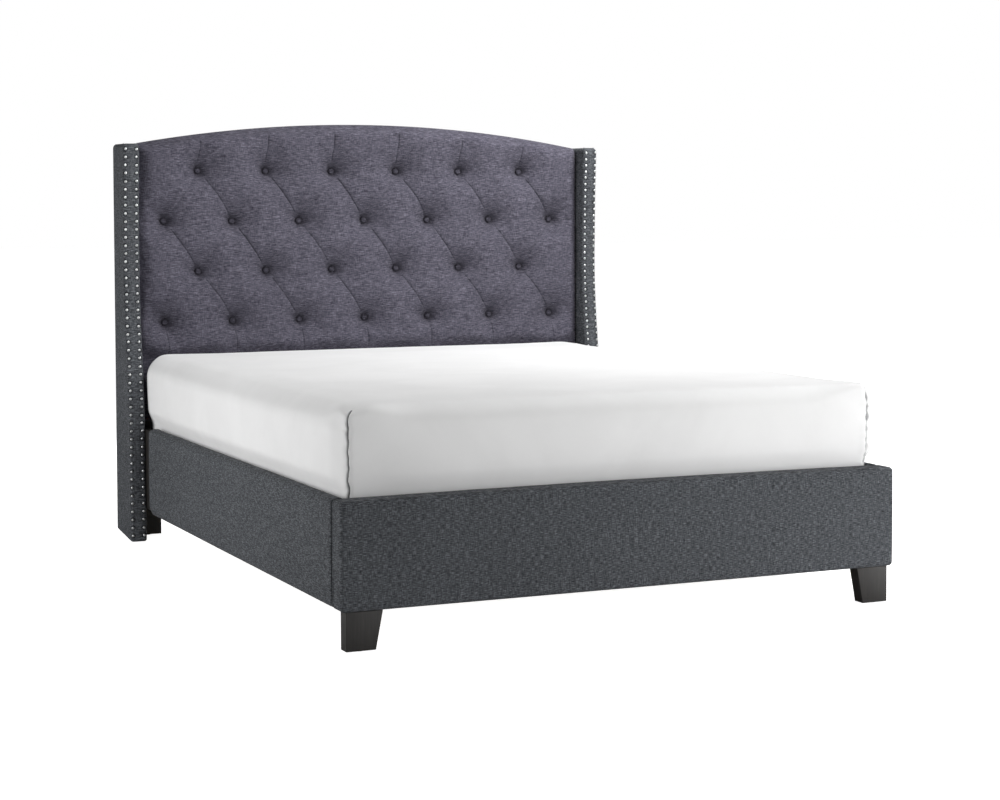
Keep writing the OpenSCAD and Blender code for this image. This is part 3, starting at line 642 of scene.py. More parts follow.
tufting = {
    "rows": 4,
    "firstRow": 6,  # buttons in the odd rows; the even rows have one more
    "pitch": 234 * mm,
    "rowGap": 169 * mm,
    "topDrop": 87 * mm,  # top row below the wing tops
    "buttonRadius": 11 * mm,
    "buttonDepth": 25 * mm,
    "dimpleDepth": 38 * mm,
    "dimpleReach": 44 * mm,
    "pitDepth": 10 * mm,  # the steep hollow right round a button
    "pitReach": 9 * mm,
    "creaseDepth": 3.4 * mm,
    "creaseWidth": 1.8 * mm,
    "valleyDepth": 5 * mm,
    "valleyReach": 26 * mm,
    "swell": 17 * mm,  # how far the pillows stand in front of the pad's nominal face
    "rimReach": 8 * mm,  # the cloth is level under a button out to here
    "gather": 1.6 * mm,  # height of the small folds that run into each button
    "gatherPlace": 24 * mm,  # where they stand highest, from the button's middle
    "gatherWidth": 16 * mm,
    "pressedDepth": 2 * mm,  # how far the mattress presses the face back
    "pressedShare": 0.35,  # of the tufting that is left where it does
    "topRoll": 38 * mm,
    "sideRoll": 9 * mm,
    "band": 12 * mm,  # what is turned down behind the arch
    "gridGap": 9 * mm,
    "ringRadii": (6, 10, 13, 17, 22, 28),  # mm, rings of points round each button
    "acrossCrease": (-5, -2.6, -1.3, 0, 1.3, 2.6, 5),  # mm, lines of points along each crease
    "belowArch": (0, 0.6, 2, 4.5, 8, 13, 19, 26),  # mm, rows of points under the arch
    "clear": 30 * mm,  # no other points this close to a button's middle
}


def archHeight(x):
    return crown - archRadius + np.sqrt(archRadius ** 2 - np.square(x))


def buttonSpots():
    t = tufting
    top = shoulder - t["topDrop"]
    spots = []
    for row in range(t["rows"]):
        count = t["firstRow"] + row % 2
        for i in range(count):
            spots.append((row, i, (i - (count - 1) / 2) * t["pitch"], top - row * t["rowGap"]))
    return spots


spots = buttonSpots()


# every crease is a list of (x, z, strength) points: down both diagonals, up over the top and down behind
# the mattress from the outer rows, and out to the sides
def creaseLines():
    t = tufting
    rng = random.Random(11)
    at = {(row, i): (x, z) for row, i, x, z in spots}
    lines = []
    steps = 14
    for (row, i), (x, z) in at.items():
        shift = 0 if row % 2 else 1
        for side in (-1, 1):
            other = at.get((row + 1, i + shift - (side < 0)))
            if other is None:
                continue
            bow = (rng.uniform(-1, 4) if side > 0 else rng.uniform(-2, 2)) * mm
            strong = rng.uniform(0.6, 1.0) if side > 0 else rng.uniform(0.4, 0.6)
            thin = rng.uniform(0.45, 0.9) if side > 0 else 0.25
            line = []
            along = Vector((other[0] - x, other[1] - z))
            normal = Vector((-along.y, along.x)).normalized() * side
            for s in range(steps + 1):
                u = s / steps
                off = bow * math.sin(math.pi * u) * (0.6 + 0.8 * u)
                px = x + along.x * u + normal.x * off
                pz = z + along.y * u + normal.y * off
                fade = thin + (1 - thin) * abs(2 * u - 1) ** 1.5
                line.append((px, pz, strong * fade))
            lines.append(line)
        if row == 0:
            line = []
            for s in range(steps + 1):
                u = s / steps
                px = x - 4 * mm * math.sin(2 * math.pi * u) * (1 - 0.4 * u)
                line.append((px, z + (archHeight(px) - z) * u, 0.75 * (1 - u) ** 0.3 if u < 1 else 0.0))
            lines.append(line)
        if row == t["rows"] - 1:
            line = []
            for s in range(steps + 1):
                u = s / steps
                px = x + 6 * mm * ease(u * 4)
                line.append((float(px), z - (z - padLo.z) * u, 0.65))
            lines.append(line)
        if row % 2 and i in (0, t["firstRow"]):
            edge = halfPanel if i else -halfPanel
            line = [(x + (edge - x) * s / steps, z - 3 * mm * s / steps, 0.4) for s in range(steps + 1)]
            lines.append(line)
    return lines


creases = creaseLines()


# how strongly the creases draw the cloth back: a broad valley and a narrow groove
def creasePull(xs, zs):
    t = tufting
    pull = np.zeros(len(xs))
    groove = np.zeros(len(xs))
    for line in creases:
        best = np.full(len(xs), 9.0)
        strength = np.zeros(len(xs))
        for (x0, z0, s0), (x1, z1, s1) in zip(line, line[1:]):
            dx, dz = x1 - x0, z1 - z0
            u = np.clip(((xs - x0) * dx + (zs - z0) * dz) / (dx * dx + dz * dz), 0, 1)
            gap = np.hypot(xs - x0 - u * dx, zs - z0 - u * dz)
            closer = gap < best
            best = np.where(closer, gap, best)
            strength = np.where(closer, s0 + (s1 - s0) * u, strength)
        pull += strength * np.exp(-best / t["valleyReach"])
        groove = np.maximum(groove, strength * np.exp(-(best / t["creaseWidth"]) ** 2))
    return pull, groove


# how far back the cloth is at each (x, z), from the front of the swell
def tuftDepth(xs, zs, grooved=True):
    t = tufting
    pull, groove = creasePull(xs, zs)
    depth = t["valleyDepth"] * (1 - np.exp(-1.3 * pull)) + (t["creaseDepth"] * groove if grooved else 0)
    for k, (_, _, bx, bz) in enumerate(spots):
        gap = np.hypot(xs - bx, zs - bz)
        outside = np.maximum(gap - t["rimReach"], 0)
        dimple = np.exp(-outside / t["dimpleReach"])
        turn = np.arctan2(zs - bz, xs - bx)
        folds = np.sin(7 * turn + k * 1.9) + 0.6 * np.sin(12 * turn + k * 3.7)
        near = np.exp(-((gap - t["gatherPlace"]) / t["gatherWidth"]) ** 2)
        pit = np.exp(-outside / t["pitReach"])
        depth += t["dimpleDepth"] * dimple + t["pitDepth"] * pit + t["gather"] * folds * near
    deepest = t["buttonDepth"] + t["swell"] + 6 * mm
    return np.minimum(depth, deepest)


# the padded face's y at each (x, z)
def faceHeight(xs, zs, grooved=True):
    t = tufting
    low = padLo.z
    depth = tuftDepth(xs, zs, grooved) - t["swell"]
    pressed = ease((sheetHi.z + 40 * mm - zs) / (60 * mm))  # flat where the mattress leans on it
    flat = t["pressedDepth"] + t["pressedShare"] * np.maximum(depth, 0)
    depth = depth * (1 - pressed) + flat * pressed
    rim = np.minimum(halfPanel - np.abs(xs), zs - low)
    depth = depth * ease(rim / (30 * mm)) + roll(rim, t["sideRoll"])
    edge = archHeight(xs) - zs
    depth = depth * ease(edge / (34 * mm)) + roll(edge, t["topRoll"])
    return padLo.y + np.minimum(depth, backLo.y - padLo.y - 1 * mm)


# the cloth pulled down at the buttons and edges, and pushed forward by the foam
def padMoves():
    columns, rows = 180, 104
    grid = []
    for r in range(rows + 1):
        for c in range(columns + 1):
            x = -halfPanel + 2 * halfPanel * c / columns
            grid.append((x, padLo.z + (archHeight(x) - padLo.z) * r / rows))
    grid = np.array(grid)
    points = np.stack([grid[:, 0], faceHeight(grid[:, 0], grid[:, 1], False), grid[:, 1]], axis=1)
    width = columns + 1
    faces = [(r * width + c, r * width + c + 1, (r + 1) * width + c + 1, (r + 1) * width + c)
             for r in range(rows) for c in range(columns)]

    def held(pts):
        mask = (halfPanel - np.abs(pts[:, 0]) < 12 * mm) | (pts[:, 2] < sheetHi.z)
        mask |= archHeight(pts[:, 0]) - pts[:, 2] < 16 * mm
        for _, _, bx, bz in spots:
            mask |= np.hypot(pts[:, 0] - bx, pts[:, 2] - bz) < 12 * mm
        return mask

    return clothMoves("padCloth", points, faces, held, pressure=1.5, growth=0.02, cap=6 * mm)


# which points of a group are further than reach from all the others
def farFrom(group, others, reach):
    return np.array([np.min(np.hypot(others[:, 0] - x, others[:, 1] - z)) > reach for x, z in group])


# triangles over the whole face: a plain grid, with finer points along the creases and round the buttons
def tuftedPad():
    t = tufting
    low = padLo.z
    columns = round(2 * halfPanel / t["gridGap"])
    rowsUp = round((shoulder - low) / t["gridGap"])
    points = []
    for c in range(columns + 1):
        x = -halfPanel + 2 * halfPanel * c / columns
        top = float(archHeight(x))
        last = top - t["belowArch"][-1] * mm - 6 * mm
        points += [(x, low + (last - low) * r / rowsUp) for r in range(rowsUp + 1)]
        points += [(x, top - step * mm) for step in t["belowArch"]]
    for edge in (2, 5, 9):
        for x in (-halfPanel + edge * mm, halfPanel - edge * mm):
            points += [(x, low + (shoulder - low - 0.04) * r / rowsUp) for r in range(1, rowsUp)]
    fine = []
    for line in creases:
        for (x0, z0, _), (x1, z1, _) in zip(line, line[1:]):
            length = math.hypot(x1 - x0, z1 - z0)
            nx, nz = -(z1 - z0) / length, (x1 - x0) / length
            pieces = max(1, round(length / (6 * mm)))
            for s in range(pieces):
                for off in t["acrossCrease"]:
                    px = x0 + (x1 - x0) * s / pieces + nx * off * mm
                    pz = z0 + (z1 - z0) * s / pieces + nz * off * mm
                    if abs(px) < halfPanel - 1 * mm and low + 2 * mm < pz < archHeight(px) - 3 * mm:
                        fine.append((px, pz))
    turns = [a * math.pi / 12 for a in range(24)]
    rings = [(bx + r * mm * math.cos(a), bz + r * mm * math.sin(a))
             for _, _, bx, bz in spots for r in t["ringRadii"] for a in turns]
    coarse = np.array(points)
    detail = np.array(fine)
    centre = np.array([(bx, bz) for _, _, bx, bz in spots])
    detail = detail[farFrom(detail, centre, t["clear"])]
    onEdge = (np.abs(np.abs(coarse[:, 0]) - halfPanel) < 1e-6) | (np.abs(coarse[:, 1] - low) < 1e-6)
    onEdge |= archHeight(coarse[:, 0]) - coarse[:, 1] < 3 * mm
    keep = onEdge | (farFrom(coarse, centre, t["clear"]) & farFrom(coarse, detail, 5 * mm))
    flat = np.vstack([coarse[keep], detail, np.array(rings)])
    flat = np.unique(np.round(flat, 6), axis=0)
    made = delaunay_2d_cdt([Vector(p) for p in flat], [], [], 0, 1e-7)
    flat = np.array([(v.x, v.y) for v in made[0]])
    triangles = [tuple(f) for f in made[2]]
    xs, zs = flat[:, 0], flat[:, 1]
    front = np.stack([xs, faceHeight(xs, zs), zs], axis=1)
    rest, moves = padMoves()
    rim = np.minimum(halfPanel - np.abs(xs), archHeight(xs) - zs)
    front += carryMoves(front, rest, moves, 6, 1 * mm) * ease(rim / (20 * mm))[:, None]
    front[:, 1] = np.minimum(front[:, 1], backLo.y - 1 * mm)
    return closePad([tuple(p) for p in front], triangles)


# adds the sides, the band over the frame and the back to the tufted face
def closePad(front, triangles):
    edges = {}
    for a, b, c in triangles:
        for pair in ((a, b), (b, c), (c, a)):
            key = tuple(sorted(pair))
            edges[key] = edges.get(key, 0) + 1
    follow = {}  # an edge that only one triangle uses lies on the outline
    for (a, b), used in edges.items():
        if used == 1:
            follow.setdefault(a, []).append(b)
            follow.setdefault(b, []).append(a)
    first = next(iter(follow))
    loop, before = [first], None
    while True:
        options = [v for v in follow[loop[-1]] if v != before]
        before = loop[-1]
        if options[0] == first or (len(loop) > 2 and first in options):
            break
        loop.append(options[0])
    band, back = tufting["band"], padHi.y
    ends = []
    for v in loop:
        x, y, z = front[v]
        if archHeight(x) - z < 0.4 * mm:  # a point on the arch
            path = [(y + (back - 8 * mm - y) * 0.5, 0.6 * mm), (back - 8 * mm, 0.4 * mm),
                    (back - 2 * mm, -1.5 * mm), (back, -5 * mm), (back, -band), (backLo.y, -band)]
        else:
            path = [(y + (backLo.y - y) * s / 6, 0) for s in range(1, 7)]
        ends.append([(x, py, z + rise) for py, rise in path])
    points = list(front)
    count = len(loop)
    ringStart = len(points)
    for s in range(6):
        points += [end[s] for end in ends]
    faces = list(triangles)
    for i in range(count):
        j = (i + 1) % count
        faces.append((loop[i], loop[j], ringStart + j, ringStart + i))
    faces += ringFaces(6, count, ringStart)
    faces.append(tuple(ringStart + 5 * count + i for i in range(count)))
    return points, faces


points, faces = tuftedPad()
padPiece = makePiece("tuftedPad", points, faces, panelLinen, "bed_frame", ["tufted_pad"])


# painted shade: strongest right at a button, weaker along the creases
def padPaintedShade(pts):
    strength = 0.6 * creasePull(pts[:, 0], pts[:, 2])[1] * (pts[:, 2] > sheetHi.z)
    for _, _, bx, bz in spots:
        gap = np.hypot(pts[:, 0] - bx, pts[:, 2] - bz)
        strength = np.maximum(strength, 0.6 * np.exp(-np.maximum(gap - 9 * mm, 0) / (17 * mm)))
    return strength


markPaintedShade(padPiece, padPaintedShade)
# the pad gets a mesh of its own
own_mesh(padPiece)
print("tufted pad done", len(points))


buttonShape = [  # a cloth-covered button, domed above its rim
    (0.0, 0.52), (0.3, 0.5), (0.6, 0.41), (0.82, 0.25), (0.96, 0.05), (1.0, -0.12), (0.93, -0.26),
    (0.6, -0.32)]


# turns a profile round forward; it holds (radius, height) as shares of size and starts on the axis
def lathe(profile, size, steps, centre, forward, up):
    side = forward.cross(up).normalized()
    points = []
    for radiusShare, heightShare in profile:
        radius, height = radiusShare * size, heightShare * size
        if radius == 0:
            points.append(centre + forward * height)
            continue
        for s in range(steps):
            a = 2 * math.pi * s / steps
            points.append(centre + forward * height + (side * math.cos(a) + up * math.sin(a)) * radius)
    rings = len(profile) - 1
    faces = [(0, 1 + s, 1 + (s + 1) % steps) for s in range(steps)]
    faces += ringFaces(rings, steps, 1)
    faces.append(tuple(1 + (rings - 1) * steps + s for s in range(steps)))
    return points, faces


def manyLathes(items):
    points, faces = [], []
    for newPoints, newFaces in items:
        start = len(points)
        points += newPoints
        faces += [tuple(v + start for v in face) for face in newFaces]
    return points, faces


def buttons():
    r = tufting["buttonRadius"]
    rimY = padLo.y + tufting["buttonDepth"] + 3 * mm
    rng = random.Random(3)
    items = []
    for _, _, x, z in spots:
        tilt = Vector((rng.uniform(-0.12, 0.12), -1, rng.uniform(-0.12, 0.12))).normalized()
        items.append(lathe(buttonShape, r, 28, Vector((x, rimY, z)), tilt, Vector((0, 0, 1))))
    return manyLathes(items)


points, faces = buttons()
buttonPiece = makePiece(
    "tuftButtons", points, faces, panelLinen, "bed_frame", ["tuft_buttons"])
buttonRim = padLo.y + tufting["buttonDepth"]
# painted shade over each button, deeper behind its rim
markPaintedShade(buttonPiece, lambda pts: np.where(pts[:, 1] > buttonRim, 0.55, 0.3))
print("buttons done")


wingSet = {
    "frontRadius": 8 * mm,
    "backRadius": 3 * mm,
    "topRadius": 15 * mm,
    "backLift": 19 * mm,
    "ringGap": 4 * mm,
    "nailInset": 6 * mm,
    "nailColumnGap": 36 * mm,
    "nailPitch": {"left": 26.4 * mm, "right": 22.4 * mm},
    "nailRadius": 4.5 * mm,
    "nailDimple": 2.2 * mm,
    "dimpleReach": 6.5 * mm,
    "paintedShadeReach": 3 * mm,
    "puff": 1.6 * mm,
    "drift": 0.5 * mm,
}
outerNails = wingHi.x - wingSet["nailInset"]
nailColumns = (outerNails, outerNails - wingSet["nailColumnGap"])


# front edge of a wing at each height, read from the cover's own CAD mesh
def wingFront(heights):
    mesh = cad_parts["wing_cover_right"].data
    outline = {}
    for v in mesh.vertices:
        if v.co.x > wingHi.x - 0.5 * mm:
            key = round(v.co.z, 4)
            outline[key] = min(outline.get(key, 9), v.co.y)
    known = sorted((z, y) for z, y in outline.items() if y < wingHi.y - 0.1 and z < wingHi.z - 17 * mm)
    return np.interp(heights, [z for z, _ in known], [y for _, y in known])


def nailHeights(side):
    pitch = wingSet["nailPitch"][side]
    top = wingHi.z - wingSet["topRadius"] - 3 * mm
    count = math.floor((top - wingLo.z - 12 * mm) / pitch) + 1
    return [top - i * pitch for i in range(count)]


def resampleRing(ring, count):
    pts = np.array(ring)
    closed = np.vstack([pts, pts[:1]])
    run = np.concatenate([[0], np.cumsum(np.linalg.norm(np.diff(closed, axis=0), axis=1))])
    goal = np.linspace(0, run[-1], count, endpoint=False)
    return np.stack([np.interp(goal, run, closed[:, k]) for k in range(3)], axis=1)


# each level is one ring: a corner's centre, radius, points on the side before it and points round it
def wingMesh(side):
    w = wingSet
    bottom, top = wingLo.z, wingHi.z
    levels = list(np.arange(bottom, top - w["topRadius"], w["ringGap"]))
    levels += [top - w["topRadius"] * (1 - math.sin(a)) for a in np.radians(np.linspace(0, 88, 9))]
    fronts = wingFront(np.array(levels))
    rings = []
    for z, front in zip(levels, fronts):
        inset = roll(top - z, w["topRadius"])
        inset += 3 * mm * ease((bottom + 5 * mm - z) / (5 * mm))
        x0, x1 = wingLo.x + inset * 0.8, wingHi.x - inset * 0.8
        y0, y1 = front + inset, wingHi.y - inset * 0.1
        rf, rb = w["frontRadius"], w["backRadius"]
        corners = (
            (x1 - rf, y0 + rf, rf, 22, 5), (x0 + rf, y0 + rf, rf, 14, 5),
            (x0 + rb, y1 - rb, rb, 22, 3), (x1 - rb, y1 - rb, rb, 6, 3))
        ring = []
        for k, (cx, cy, r, sideSteps, cornerSteps) in enumerate(corners):
            lastX, lastY, lastR = corners[k - 1][:3]
            start, end = k * math.pi / 2, (k + 1) * math.pi / 2
            ax, ay = lastX + lastR * math.cos(start), lastY - lastR * math.sin(start)
            bx, by = cx + r * math.cos(start), cy - r * math.sin(start)
            ring += [(ax + (bx - ax) * n / sideSteps, ay + (by - ay) * n / sideSteps)
                     for n in range(sideSteps)]
            ring += [(cx + r * math.cos(turn), cy - r * math.sin(turn))
                     for turn in np.linspace(start, end, cornerSteps, endpoint=False)]
        up = (z - bottom) / (top - bottom)
        lift = [w["backLift"] * (1 - up) ** 6 * (y - y0) / (y1 - y0) for _, y in ring]
        rings.append([(x, y, z + rise) for (x, y), rise in zip(ring, lift)])
    grown = puffWing(np.array([p for ring in rings for p in ring]), side)
    grown[:, 0] *= signs[side]
    return grown, tubeFaces(len(rings), len(rings[0]))


# foam swells the faces a little, and every nail holds the cloth down
def puffWing(pts, side):
    w = wingSet
    middle = (wingLo.x + wingHi.x) / 2
    half = (wingHi.x - wingLo.x) / 2
    fronts = wingFront(pts[:, 2])
    back = (pts[:, 1] - fronts) / (wingHi.y - fronts)
    flank = np.sign(pts[:, 0] - middle) * ease((np.abs(pts[:, 0] - middle) - half + 10 * mm) / (8 * mm))
    pts = pts.copy()
    drift = waves(pts, 9, 2 if side == "left" else 5)
    body = np.clip(back * 6, 0, 1) * np.clip((1 - back) * 6, 0, 1)
    ends = ease((wingHi.z - pts[:, 2]) / (40 * mm)) * ease((pts[:, 2] - wingLo.z) / (30 * mm))
    pts[:, 0] += flank * ends * body * (w["puff"] * 0.6 + w["drift"] * drift)
    isFront = ease((fronts + 4 * mm - pts[:, 1]) / (3 * mm))
    across = 1 - ((pts[:, 0] - middle) / half) ** 2
    pts[:, 1] -= isFront * ends * (w["puff"] * across + w["drift"] * drift)
    for z in nailHeights(side):
        for x in nailColumns:
            near = np.abs(pts[:, 2] - z) < 25 * mm
            gap = np.hypot(pts[near, 0] - x, pts[near, 2] - z)
            pts[near, 1] += isFront[near] * w["nailDimple"] * np.exp(-(gap / w["dimpleReach"]) ** 2)
    return pts


nailShape = [(0.0, 0.5), (0.35, 0.46), (0.65, 0.34), (0.86, 0.18), (1.0, 0.0), (0.9, -0.12)]


def nails(side):
    w = wingSet
    rng = random.Random(7 if side == "left" else 8)
    r = w["nailRadius"]
    items = []
    for x in nailColumns:
        for z in nailHeights(side):
            px = (x + rng.gauss(0, 0.5) * mm) * signs[side]
            pz = z + rng.gauss(0, 0.7) * mm
            y0, y1 = wingFront(np.array([pz - 4 * mm, pz + 4 * mm]))
            out = Vector((rng.gauss(0, 0.05), -1, (y1 - y0) / (8 * mm) + rng.gauss(0, 0.05))).normalized()
            spot = Vector((px, float(y0 + y1) / 2 + 0.2 * mm, pz))
            items.append(lathe(nailShape, r, 18, spot, out, Vector((0, 0, 1))))
        topY = float(wingFront(np.array([wingHi.z - 20 * mm]))[0])
        spot = Vector((x * signs[side], topY + w["topRadius"] + 5 * mm, wingHi.z - 0.8 * mm))
        items.append(lathe(nailShape, r, 18, spot, Vector((0, 0, 1)), Vector((0, 1, 0))))
    return manyLathes(items)


# painted shade in a narrow ring round every nail, where the cloth is drawn down
def nailPaintedShade(pts, side):
    w = wingSet
    strength = np.zeros(len(pts))
    heights = np.array(nailHeights(side))
    nearest = np.min(np.abs(pts[:, 2][:, None] - heights[None, :]), axis=1)
    onFront = pts[:, 1] < wingFront(pts[:, 2]) + 7 * mm
    for x in nailColumns:
        gap = np.hypot(np.abs(pts[:, 0]) - x, nearest)
        ring = np.exp(-(np.maximum(gap - w["nailRadius"], 0) / w["paintedShadeReach"]) ** 2)
        strength = np.maximum(strength, 0.85 * onFront * ring)
    return strength


for side in ("left", "right"):
    pts, faces = wingMesh(side)
    piece = makePiece(
        "wingCover_" + side, pts, faces, trimLinen, "bed_frame", ["wing_cover_" + side])
    markPaintedShade(piece, lambda pts: nailPaintedShade(pts, side))
    points, faces = nails(side)
    makePiece(
        "nailheads_" + side, points, faces, nailNickel, "bed_frame", ["nailheads_" + side])
print("wings and nails done")


railSet = {
    "outerRadius": 12 * mm,
    "innerRadius": 4 * mm,
    "headRound": 40 * mm,  # lower corner at the head end
    "headTopRound": 14 * mm,
    "headSideRound": 10 * mm,
    "footRound": 12 * mm,
    "ringGap": 12 * mm,
    "wave": 0.8 * mm,
    "ripple": 0.35 * mm,
    "puff": 1.2 * mm,
}


def railCover(side):
    r = railSet
    lo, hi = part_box("rail_cover_right")
    stations = [0, 0.4, 1.2, 2.6, 4.5, 6.5, 9]
    ys = [lo.y + s * mm for s in stations]
    ys += list(np.arange(lo.y + 20 * mm, hi.y - r["headRound"] - 2 * mm, r["ringGap"]))
    ys += [hi.y - r["headRound"] * (1 - math.sin(a)) for a in np.radians(np.linspace(0, 89, 16))]
    points, size = [], 0
    for y in ys:
        cutZ = roll(hi.y - y, r["headRound"])
        cutTop = roll(hi.y - y, r["headTopRound"])
        cutX = roll(hi.y - y, r["headSideRound"])
        footCut = roll(y - lo.y, r["footRound"])
        outline = roundedOutline(
            lo.x + cutX * 0.3, hi.x - cutX * 0.6 - footCut,
            lo.z + cutZ + footCut * 0.5, hi.z - cutTop - footCut * 0.5,
            [r["outerRadius"], r["innerRadius"], r["innerRadius"], r["outerRadius"]], 14 * mm, 5)
        ring = [(x, y, z) for x, z in outline]
        size = size or len(ring)
        points += ring if len(ring) == size else [tuple(p) for p in resampleRing(ring, size)]
    pts = np.array(points)
    drift = waves(pts, 2.2, 4 if side == "left" else 6)
    fineDrift = waves(pts, 11, 9)
    outer = ease((pts[:, 0] - (hi.x - 14 * mm)) / (12 * mm))
    upper = ease((pts[:, 2] - (hi.z - 10 * mm)) / (8 * mm))
    middle = 1 - ((pts[:, 2] - (lo.z + hi.z) / 2) / ((hi.z - lo.z) / 2)) ** 2
    pts[:, 0] += outer * (r["wave"] * drift + r["ripple"] * fineDrift + r["puff"] * middle)
    pts[:, 2] += upper * (r["wave"] * 1.4 * drift + 0.5 * mm * fineDrift)
    pts[:, 0] *= signs[side]
    return pts, tubeFaces(len(ys), size)


for side in ("left", "right"):
    pts, faces = railCover(side)
    piece = makePiece(
        "railCover_" + side, pts, faces, trimLinen, "bed_frame", ["rail_cover_" + side])
    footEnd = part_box("rail_cover_" + side)[0].y
    # painted shade at the rail's foot end, where it meets the footboard
    markPaintedShade(piece, lambda pts: ease((footEnd + 7 * mm - pts[:, 1]) / (4 * mm)))
print("rails done")


footSet = {
    "edgeRadius": 12 * mm,
    "cornerRadius": 9 * mm,
    "crown": 3 * mm,
    "wave": 0.8 * mm,
    "ripple": 0.35 * mm,
    "puff": 1.4 * mm,
    "seamFromBack": 15 * mm,
    "seamDepth": 2.4 * mm,
    "seamWidth": 2.2 * mm,
}


def footboard():
    f = footSet
    lo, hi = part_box("footboard_cover")
    centre, half = middleAndHalf("footboard_cover")
    xs = spacedSteps(half[0], 13 * mm, 2.5 * mm, 20 * mm)
    ys = spacedSteps(half[1], 3 * mm, 2 * mm, 16 * mm)
    zs = spacedSteps(half[2], 8 * mm, 2.5 * mm, 20 * mm)
    points, faces = boxSkin(xs, ys, zs, None)
    pts = roundBox(np.array(points), half, f["edgeRadius"], f["cornerRadius"]) + centre
    across = 1 - np.square(pts[:, 0] / hi.x)
    upper = ease((pts[:, 2] - (hi.z - 14 * mm)) / (10 * mm))
    faceOn = ease((lo.y + 12 * mm - pts[:, 1]) / (10 * mm))
    endOn = ease((np.abs(pts[:, 0]) - hi.x + 6 * mm) / (4 * mm))
    drift = waves(pts, 2.0, 12)
    fineDrift = waves(pts, 10, 13)
    middle = 1 - ((pts[:, 2] - centre[2]) / half[2]) ** 2
    pts[:, 2] += upper * (f["crown"] * across + f["wave"] * drift * 1.2 + 0.4 * mm * fineDrift)
    pts[:, 1] -= faceOn * (f["puff"] * middle + f["wave"] * drift * across + f["ripple"] * fineDrift)
    # the front's cloth is wrapped round each end and closed with an upright seam near the rail
    seam = pts[:, 1] - (hi.y - f["seamFromBack"]) - 0.8 * mm * fineDrift
    sunk = f["seamDepth"] * np.exp(-(seam / f["seamWidth"]) ** 2)
    puff = 1.2 * mm * np.exp(-((np.abs(seam) - 5 * mm) / (4 * mm)) ** 2)
    pts[:, 0] -= np.sign(pts[:, 0]) * endOn * (sunk - puff * middle)
    return pts, faces


points, faces = footboard()
piece = makePiece("footboardCover", points, faces, trimLinen, "bed_frame", ["footboard_cover"])
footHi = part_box("footboard_cover")[1]


# painted shade in the seam at each end and along the back edge
def footPaintedShade(pts):
    fromBack = footHi.y - pts[:, 1]
    seam = 0.8 * np.exp(-((fromBack - footSet["seamFromBack"]) / (2 * mm)) ** 2)
    atEnd = np.abs(pts[:, 0]) > footHi.x - 7 * mm
    return np.where(atEnd, seam, 0) + 0.9 * ease((4 * mm - fromBack) / (3 * mm))


markPaintedShade(piece, footPaintedShade)
print("footboard done")


sheetSet = {
    "radius": 50 * mm,
    "footCornerRadius": 15 * mm,  # edge radius right at the two pointed foot corners
    "footCorner": 22 * mm,
    "headCorner": 70 * mm,
    "crown": 9 * mm,
    "heldHeight": 78 * mm,  # the rails hold the sheet in up to here
    "heldFade": 50 * mm,
    "cornerDrop": 23 * mm,  # the left foot corner sits lower, where the seam pulls
    "slack": 22 * mm,  # how far the right side stands out near the foot
    "slackPlace": 30 * mm,
    "slackWidth": 34 * mm,
    "bulge": 19 * mm,
    "endBulge": 6 * mm,
    "rim": 175 * mm,  # how far it is tucked under the mattress
    "coarseStep": 22 * mm,
    "fineStep": 12 * mm,
    "thick": 1.5 * mm,
    "seamDepth": 11 * mm,
    "seamWidth": 2.0 * mm,
    "wander": 3.6 * mm,  # how far a seam strays from the corner's middle
    "pucker": 4.4 * mm,
    "puckerEvery": 13 * mm,
    "gathered": 130 * mm,  # how far from a corner the puckers may reach
    "flat": (2.508, 3.01),  # cut size, with the corners cut out and gathered
    "area": 6.47,
}


def sheetMesh(coarse):
    s = sheetSet
    centre, half = middleAndHalf("fitted_sheet")
    step = s["coarseStep"] if coarse else s["fineStep"]
    xs = spacedSteps(half[0], step, step if coarse else 5 * mm, 72 * mm)
    ys = spacedSteps(half[1], step, step if coarse else 5 * mm, 72 * mm)
    zs = spacedSteps(half[2], step if coarse else 6 * mm, step if coarse else 5 * mm, 60 * mm)
    if not coarse:
        xs, ys = closer(xs), closer(ys)
    points, faces = boxSkin(xs, ys, zs, s["rim"])
    pts = np.array(points)
    foot = pts[:, 1] < 0
    corner = np.where(foot, s["footCorner"], s["headCorner"])
    fromCorner = np.hypot(half[0] - np.abs(pts[:, 0]), half[1] - np.abs(pts[:, 1]))
    edge = s["footCornerRadius"] + (s["radius"] - s["footCornerRadius"]) * ease(fromCorner / (190 * mm))
    pts = roundBox(pts, half, np.where(foot, edge, s["radius"]), corner)
    return shapeSheet(pts, half) + centre, faces


# splits each step within 26 mm of the ends in three
def closer(steps):
    reach = steps[-1] - 26 * mm
    extra = [a + (b - a) * k / 3 for a, b in zip(steps, steps[1:]) if abs(a) > reach or abs(b) > reach
             for k in (1, 2)]
    return np.array(sorted(list(steps) + extra))


